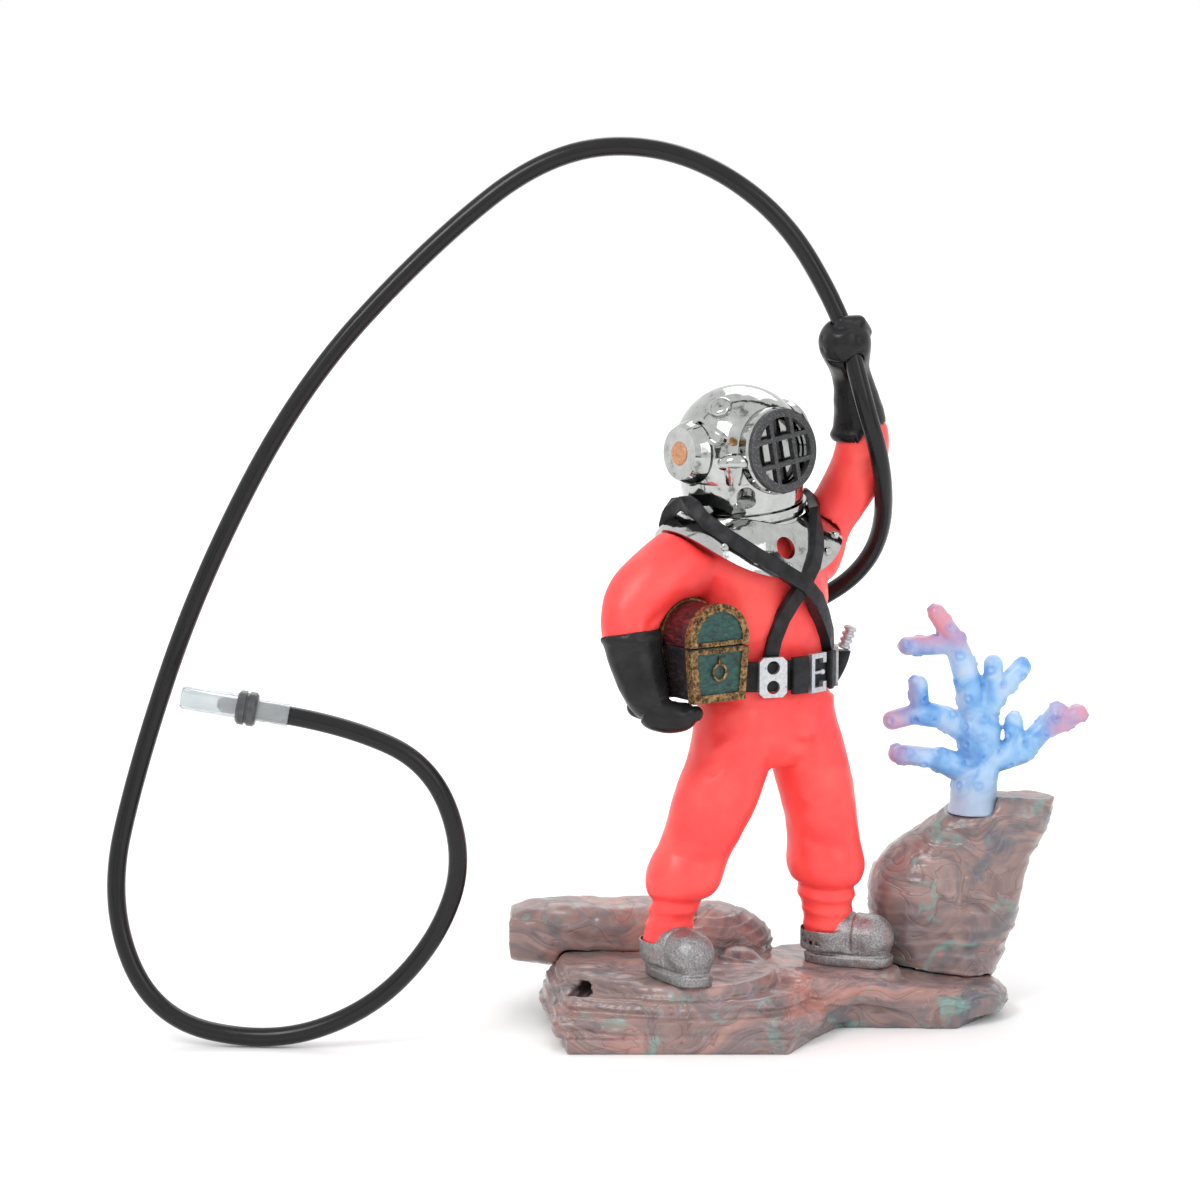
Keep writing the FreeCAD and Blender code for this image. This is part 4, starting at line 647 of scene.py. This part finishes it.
# Route of the hose, millimetres, as its CAD solid has it.
HOSE_ROUTE = [
    (-15.5, 11.5, 80.5), (-6.5, 15.5, 79.5), (4.5, 18.5, 83.0), (14.0, 16.0, 89.5),
    (18.5, 11.0, 99.0), (17.3, -1.0, 113.0), (13.0, -4.6, 126.5), (9.0, 0.0, 143.0),
    (-4.0, -2.0, 164.5), (-25.0, -0.5, 176.8), (-48.5, -1.5, 175.8), (-72.5, -2.5, 157.0),
    (-98.0, -6.0, 129.5), (-118.0, -9.0, 91.5), (-130.5, -10.5, 55.5), (-136.8, -13.8, 28.0),
    (-127.5, -18.5, 5.4), (-104.0, -20.2, 0.6), (-84.5, -21.5, 7.6), (-71.0, -22.5, 22.0),
    (-65.2, -23.5, 39.0), (-71.5, -24.5, 57.6), (-88.0, -24.5, 65.3), (-100.0, -24.5, 67.4),
]
HOSE_DIAMETER = 3.7


def make_hose(material):
    curve = bpy.data.curves.new("hose", "CURVE")
    curve.dimensions = "3D"
    spline = curve.splines.new("NURBS")
    spline.points.add(len(HOSE_ROUTE) - 1)
    for point, place in zip(spline.points, HOSE_ROUTE):
        point.co = (*(Vector(place) * MM), 1)
    spline.order_u = 3
    spline.use_endpoint_u = True
    curve.resolution_u = 14
    curve.bevel_depth = HOSE_DIAMETER / 2 * MM
    curve.bevel_resolution = 7
    curve.materials.append(material)
    hose = bpy.data.objects.new("hose", curve)
    SCENE.collection.objects.link(hose)
    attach(hose, "base")
    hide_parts("air_hose")


# ---------------------------------------------------------------- suit

def make_suit_upper(material):
    skin = Skin("suit_upper", ["suit_torso", "right_sleeve", "left_sleeve"], 0.42, 10)
    points = skin.points
    amount = 0.22 * lumps(points, 7, 1, 2) + 0.06 * lumps(points, 2.4, 5, 2)
    amount += folds(points, [
        # left armpit and elbow
        ((4, -2, 104), (14, 2, 108), 1.1, 0.5), ((6, -1, 107), (16, 3, 112), 0.8, -0.45),
        ((8, 2, 112), (17, 3, 116), 1.0, 0.4), ((3, 0, 99), (10, 4, 103), 1.0, -0.4),
        # right shoulder and elbow
        ((-24, -18, 92), (-35, -18, 86), 1.6, 0.5), ((-22, -18, 89), (-30, -22, 84), 1.0, -0.5),
        ((-30, -23, 84), (-38, -16, 81), 1.1, 0.5),
        # waist
        ((-16, -12, 79), (-6, -12, 80.5), 1.1, 0.3), ((-2, -11, 78), (6, -5, 80), 1.0, 0.3),
    ])
    skin.push(amount)
    return skin.done("base", "suit_red", material)


def make_trousers(material):
    skin = Skin("suit_trousers_skin", ["suit_trousers"], 0.42, 8)
    points = skin.points
    height = points[:, 2]
    cuff_top = 29.0
    ring_zone = rise(height, 12, 15) * (1 - rise(height, cuff_top - 3.5, cuff_top - 1))
    tilt = 0.6 * lumps(points * [1, 1, 0.3], 9, 4)
    ring = np.sin((height + tilt * 1.2) * 2 * np.pi / 3.1)
    amount = ring_zone * (0.16 * np.maximum(ring, -0.4) + 0.06)
    bloom = np.exp(-((height + tilt - 31.5) / 3.6) ** 2)
    amount += 0.7 * bloom
    crease = np.exp(-((height + tilt - 27.4) / 1.0) ** 2)
    amount -= 0.75 * crease
    amount += 0.30 * lumps(points, 8, 2, 2) + 0.05 * lumps(points, 2.2, 8, 2)
    amount += folds(points, [
        # crotch and thighs
        ((-7, -9, 62), (-20, -15, 57), 1.4, 0.6), ((-6, -9, 59), (-19, -15, 53), 1.0, -0.6),
        ((-3, -9, 63), (8, -5, 58), 1.3, 0.55), ((-3, -8, 60), (9, -5, 55), 1.0, -0.5),
        ((-10, -12, 68), (2, -10, 67), 1.2, 0.4),
        # knees
        ((-26, -17, 42), (-14, -17, 38), 1.5, 0.5), ((-27, -16, 39), (-15, -16, 35), 1.1, -0.5),
        ((0, -4, 42), (12, -3, 39), 1.5, 0.45), ((0, -4, 38), (13, -2, 36), 1.1, -0.45),
        ((-1, -3, 48), (9, -4, 44), 1.3, 0.4),
    ])
    skin.push(amount)
    return skin.done("base", "suit_red", material)


# ---------------------------------------------------------------- gloves and boots

def make_gloves(material):
    centre = np.array([9.5, 0.3, 137.4])
    thumb = bar(
        [centre + [3.6, 1.2, 2.4], centre + [2.4, -1.6, 4.4], centre + [-0.8, -2.6, 4.6]],
        [1.8, 1.7, 1.4],
    )
    skin = Skin("left_glove_skin", ["left_glove"], 0.26, 4, [thumb])
    points = skin.points
    amount = 0.14 * lumps(points, 4, 11, 2)
    grooves = []
    for finger in range(3):
        level = 1.6 - 2.5 * finger
        grooves.append((centre + [-4.6, -2.4, level], centre + [3.6, -4.6, level - 0.5], 0.55, -0.6))
    amount += folds(points, grooves)
    cuff = corners("left_glove")[0][2]
    amount += 0.55 * np.exp(-((points[:, 2] - cuff - 1.2) / 1.0) ** 2)
    skin.push(amount)
    skin.done("base", "glove_black", material)

    extras = []
    for finger in range(4):
        shift = np.array([0.574, -0.819, 0]) * (1.6 - 2.3 * finger)
        knuckle = np.array([-28.6, -20.2, 67.6]) + shift
        bend = np.array([-25.4, -20.4, 65.9]) + shift
        tip = np.array([-21.4, -20.6, 67.2]) + shift
        extras.append(bar([knuckle, bend, tip], [2.2, 1.8, 1.5]))
    skin = Skin("right_glove_skin", ["right_glove"], 0.26, 3, extras)
    points = skin.points
    amount = 0.14 * lumps(points, 4, 12, 2)
    cuff = corners("right_glove")[1][2]
    amount += 0.5 * np.exp(-((points[:, 2] - cuff + 2.2) / 1.1) ** 2)
    skin.push(amount)
    skin.done("base", "glove_black", material)


# Middle of each ankle and the way the toe points, as the CAD solids have them.
BOOTS = {
    "right": ((-25.5, -9.8), (0.5, -0.866)),
    "left": ((7.6, 4.0), (0.94, -0.34)),
}
PEG_LENGTH = 4.0
# Bar that fills a boot from shaft to toe: distance along it, height over the sole, radius.
INSTEP = [(0.5, 6.2, 4.5), (4.8, 6.3, 4.5), (9.0, 5.6, 4.6)]
TOE_CAP_SEAM = 5.6
WELT_HEIGHT = 2.6


def make_boots(material):
    """Boots with a filled instep, a toe cap seam and a welt above the sole."""
    for seed, (side, (ankle, direction)) in enumerate(BOOTS.items(), 21):
        node = side + "_boot"
        along = np.array([*direction, 0.0])
        foot = np.array([*ankle, corners(node)[0][2] + PEG_LENGTH])
        stations = [foot + along * reach + [0, 0, lift] for reach, lift, _ in INSTEP]
        instep = bar(stations, [radius for _, _, radius in INSTEP])
        skin = Skin(node + "_skin", [node], 0.24, 12, [instep])
        points = skin.points
        reach, lift = (points - foot) @ along, points[:, 2] - foot[2]
        amount = 0.12 * lumps(points, 3, seed, 2) + 0.04 * lumps(points, 0.9, seed, 2)
        above_sole = rise(lift, 3, 4)
        amount -= 0.35 * np.exp(-((reach - TOE_CAP_SEAM) / 0.40) ** 2) * above_sole
        amount -= 0.35 * np.exp(-((lift - WELT_HEIGHT) / 0.34) ** 2)
        skin.push(amount)
        skin.done("base", "boot_silver", material)


# ---------------------------------------------------------------- rocks and coral

def strata(points, normals, pitch, depth, seed):
    """Ledges that run round the sides of a rock, fading on level faces."""
    warp = 2.2 * lumps(points * [1, 1, 1.5], 16, seed) + 0.8 * lumps(points, 6, seed + 1)
    phase = (points[:, 2] + warp) / pitch
    saw = phase - np.floor(phase)
    ledge = saw ** 1.6 * rise(1 - saw, 0.0, 0.16)
    side = 1 - np.abs(normals[:, 2]) ** 2
    patchy = 0.55 + 0.45 * lumps(points, 13, seed + 2)
    return depth * side * patchy * (2 * ledge - 0.6)


def make_rock(name, node, material, voxel, pitch, depth, lump, seed, plinth_top=0.8):
    skin = Skin(name, [node], voxel, 3)
    points, normals = skin.points, skin.normals()
    amount = strata(points, normals, pitch, depth, seed)
    amount += lump * lumps(points, 9, seed + 3, 2) + 0.18 * lumps(points, 2.6, seed + 4, 2)
    above_floor = rise(points[:, 2], plinth_top - 0.6, plinth_top + 1.2)
    skin.push(amount * above_floor)
    skin.points[:, 2] = np.maximum(skin.points[:, 2], 0.0)
    return skin.done("base", "rock", material)


def make_rocks():
    lower = rock_material("rock_lower", 1.0, 0.5)
    make_rock("rock_base_skin", "rock_base", lower, 0.42, 1.9, 0.62, 0.25, 31, plinth_top=3.2)
    slab = rock_material("rock_slab", 0.7, 0.1)
    make_rock("rear_slab_skin", "rear_slab", slab, 0.42, 5.0, 0.25, 0.4, 47)
    upper = rock_material("rock_boulder", 0.25, 0.8)
    make_rock("boulder_skin", "boulder", upper, 0.42, 3.6, 0.40, 0.75, 59)


def make_coral():
    skin = Skin("coral_skin", ["coral"], 0.30, 5)
    points = skin.points
    rng = np.random.default_rng(7)
    above = np.flatnonzero(points[:, 2] > corners("coral")[0][2] + 12)
    centres = []
    for index in rng.permutation(above):
        if all(np.linalg.norm(points[index] - points[other]) > 3.6 for other in centres):
            centres.append(index)
        if len(centres) >= 90:
            break
    height = np.zeros(len(points))
    polyp = np.zeros(len(points))
    for index in centres:
        away = np.linalg.norm(points - points[index], axis=1)
        height += 0.34 * np.exp(-((away - 0.75) / 0.34) ** 2) - 0.22 * np.exp(-(away / 0.42) ** 2)
        polyp = np.maximum(polyp, np.exp(-((away - 0.75) / 0.30) ** 2))
    skin.push(height + 0.12 * lumps(points, 4, 71, 2))
    spine = np.array([38.5, 12.0, 0.0])
    reach = np.linalg.norm((points - spine)[:, :2], axis=1)
    tip = np.maximum(rise(reach, 11, 19), rise(points[:, 2], 72, 79))
    skin.mark("tip", tip)
    skin.mark("polyp", polyp)
    return skin.done("coral", "coral", coral_material())


# ---------------------------------------------------------------- carried-over parts

def dress(material, *names):
    """Give CAD nodes that are shown as they are a material of their own."""
    for name in names:
        mesh = NODES[name].data
        mesh.materials.clear()
        mesh.materials.append(material)


def make_leather(node, material, edge):
    """Flat leather piece modelled directly: the CAD sheet, its edges rounded by edge millimetres."""
    same_point, sharp_angle, smooth_angle = 0.002 * MM, math.radians(40), math.radians(35)
    work = bmesh.new()
    work.from_mesh(NODES[node].data)
    bmesh.ops.remove_doubles(work, verts=work.verts, dist=same_point)
    sharp = [
        side for side in work.edges
        if len(side.link_faces) == 2 and side.calc_face_angle() > sharp_angle
    ]
    bmesh.ops.bevel(
        work, geom=sharp, offset=edge * MM, segments=3, profile=0.5, affect="EDGES", clamp_overlap=True
    )
    mesh = bpy.data.meshes.new(node + "_leather")
    work.to_mesh(mesh)
    work.free()
    mesh.polygons.foreach_set("use_smooth", [True] * len(mesh.polygons))
    mesh.set_sharp_from_angle(angle=smooth_angle)
    mesh.materials.append(material)
    piece = bpy.data.objects.new(node + "_leather", mesh)
    SCENE.collection.objects.link(piece)
    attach(piece, "base")
    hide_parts(node)


def make_straps(material):
    belt_edge, sheath_edge = 0.16, 0.10
    for node in ("shoulder_strap_left", "shoulder_strap_right", "waist_belt", "belt_keeper", "belt_loop"):
        make_leather(node, material, belt_edge)
    make_leather("knife_sheath", material, sheath_edge)


def make_chest():
    """Chest body and lid with worn edges; the two end panels are painted apart."""
    heading = math.radians(DIVER_HEADING)
    along = np.array([math.cos(heading), math.sin(heading), 0.0])
    for node, slot, tones, seed in (
        ("chest_body", "chest_green", BLACK_PLANKS, 91), ("chest_lid", "chest_red", RED_PLANKS, 92),
    ):
        skin = Skin(node + "_skin", [node], 0.26, 2)
        facing_end = np.abs(skin.normals() @ along)
        skin.mark("end_panel", rise(facing_end, 0.75, 0.9))
        skin.push(0.10 * lumps(skin.points, 2.6, seed, 2))
        skin.done("base", slot, chest_material(node, tones))


def make_dressing():
    chrome = chrome_material()
    dress(chrome, "helmet_shell", "neck_ring", "face_port_ring", "face_plate", "side_port_right")
    dress(chrome, "side_port_left", "top_port_knob", "exhaust_valve", "chin_valve", "port_clasp")
    dress(chrome, "breastplate", "breastplate_studs")
    dress(gunmetal_material(), "face_grille")
    dress(copper_material(), "side_disc_right", "side_disc_left")
    gold = gold_material()
    dress(gold, "port_bolt", "chest_bands_lid", "chest_bands_body", "chest_ring_pull", "chest_nails")
    silver = silver_material()
    dress(silver, "weight_front_right", "weight_front_left", "buckle_frame", "buckle_prong")
    dress(silver, "knife_handle")
    strap = strap_material()
    make_straps(strap)
    make_chest()
    clear = clear_material()
    dress(clear, "nozzle", "hose_sleeve", "air_riser")
    grey = grey_material()
    dress(grey, "connector_body", "air_inlet_elbow")


make_camera()
make_hose(hose_material())
make_studio()
suit = suit_material()
make_suit_upper(suit)
make_trousers(suit)
make_gloves(glove_material())
make_boots(boot_material())
make_rocks()
make_coral()
make_dressing()
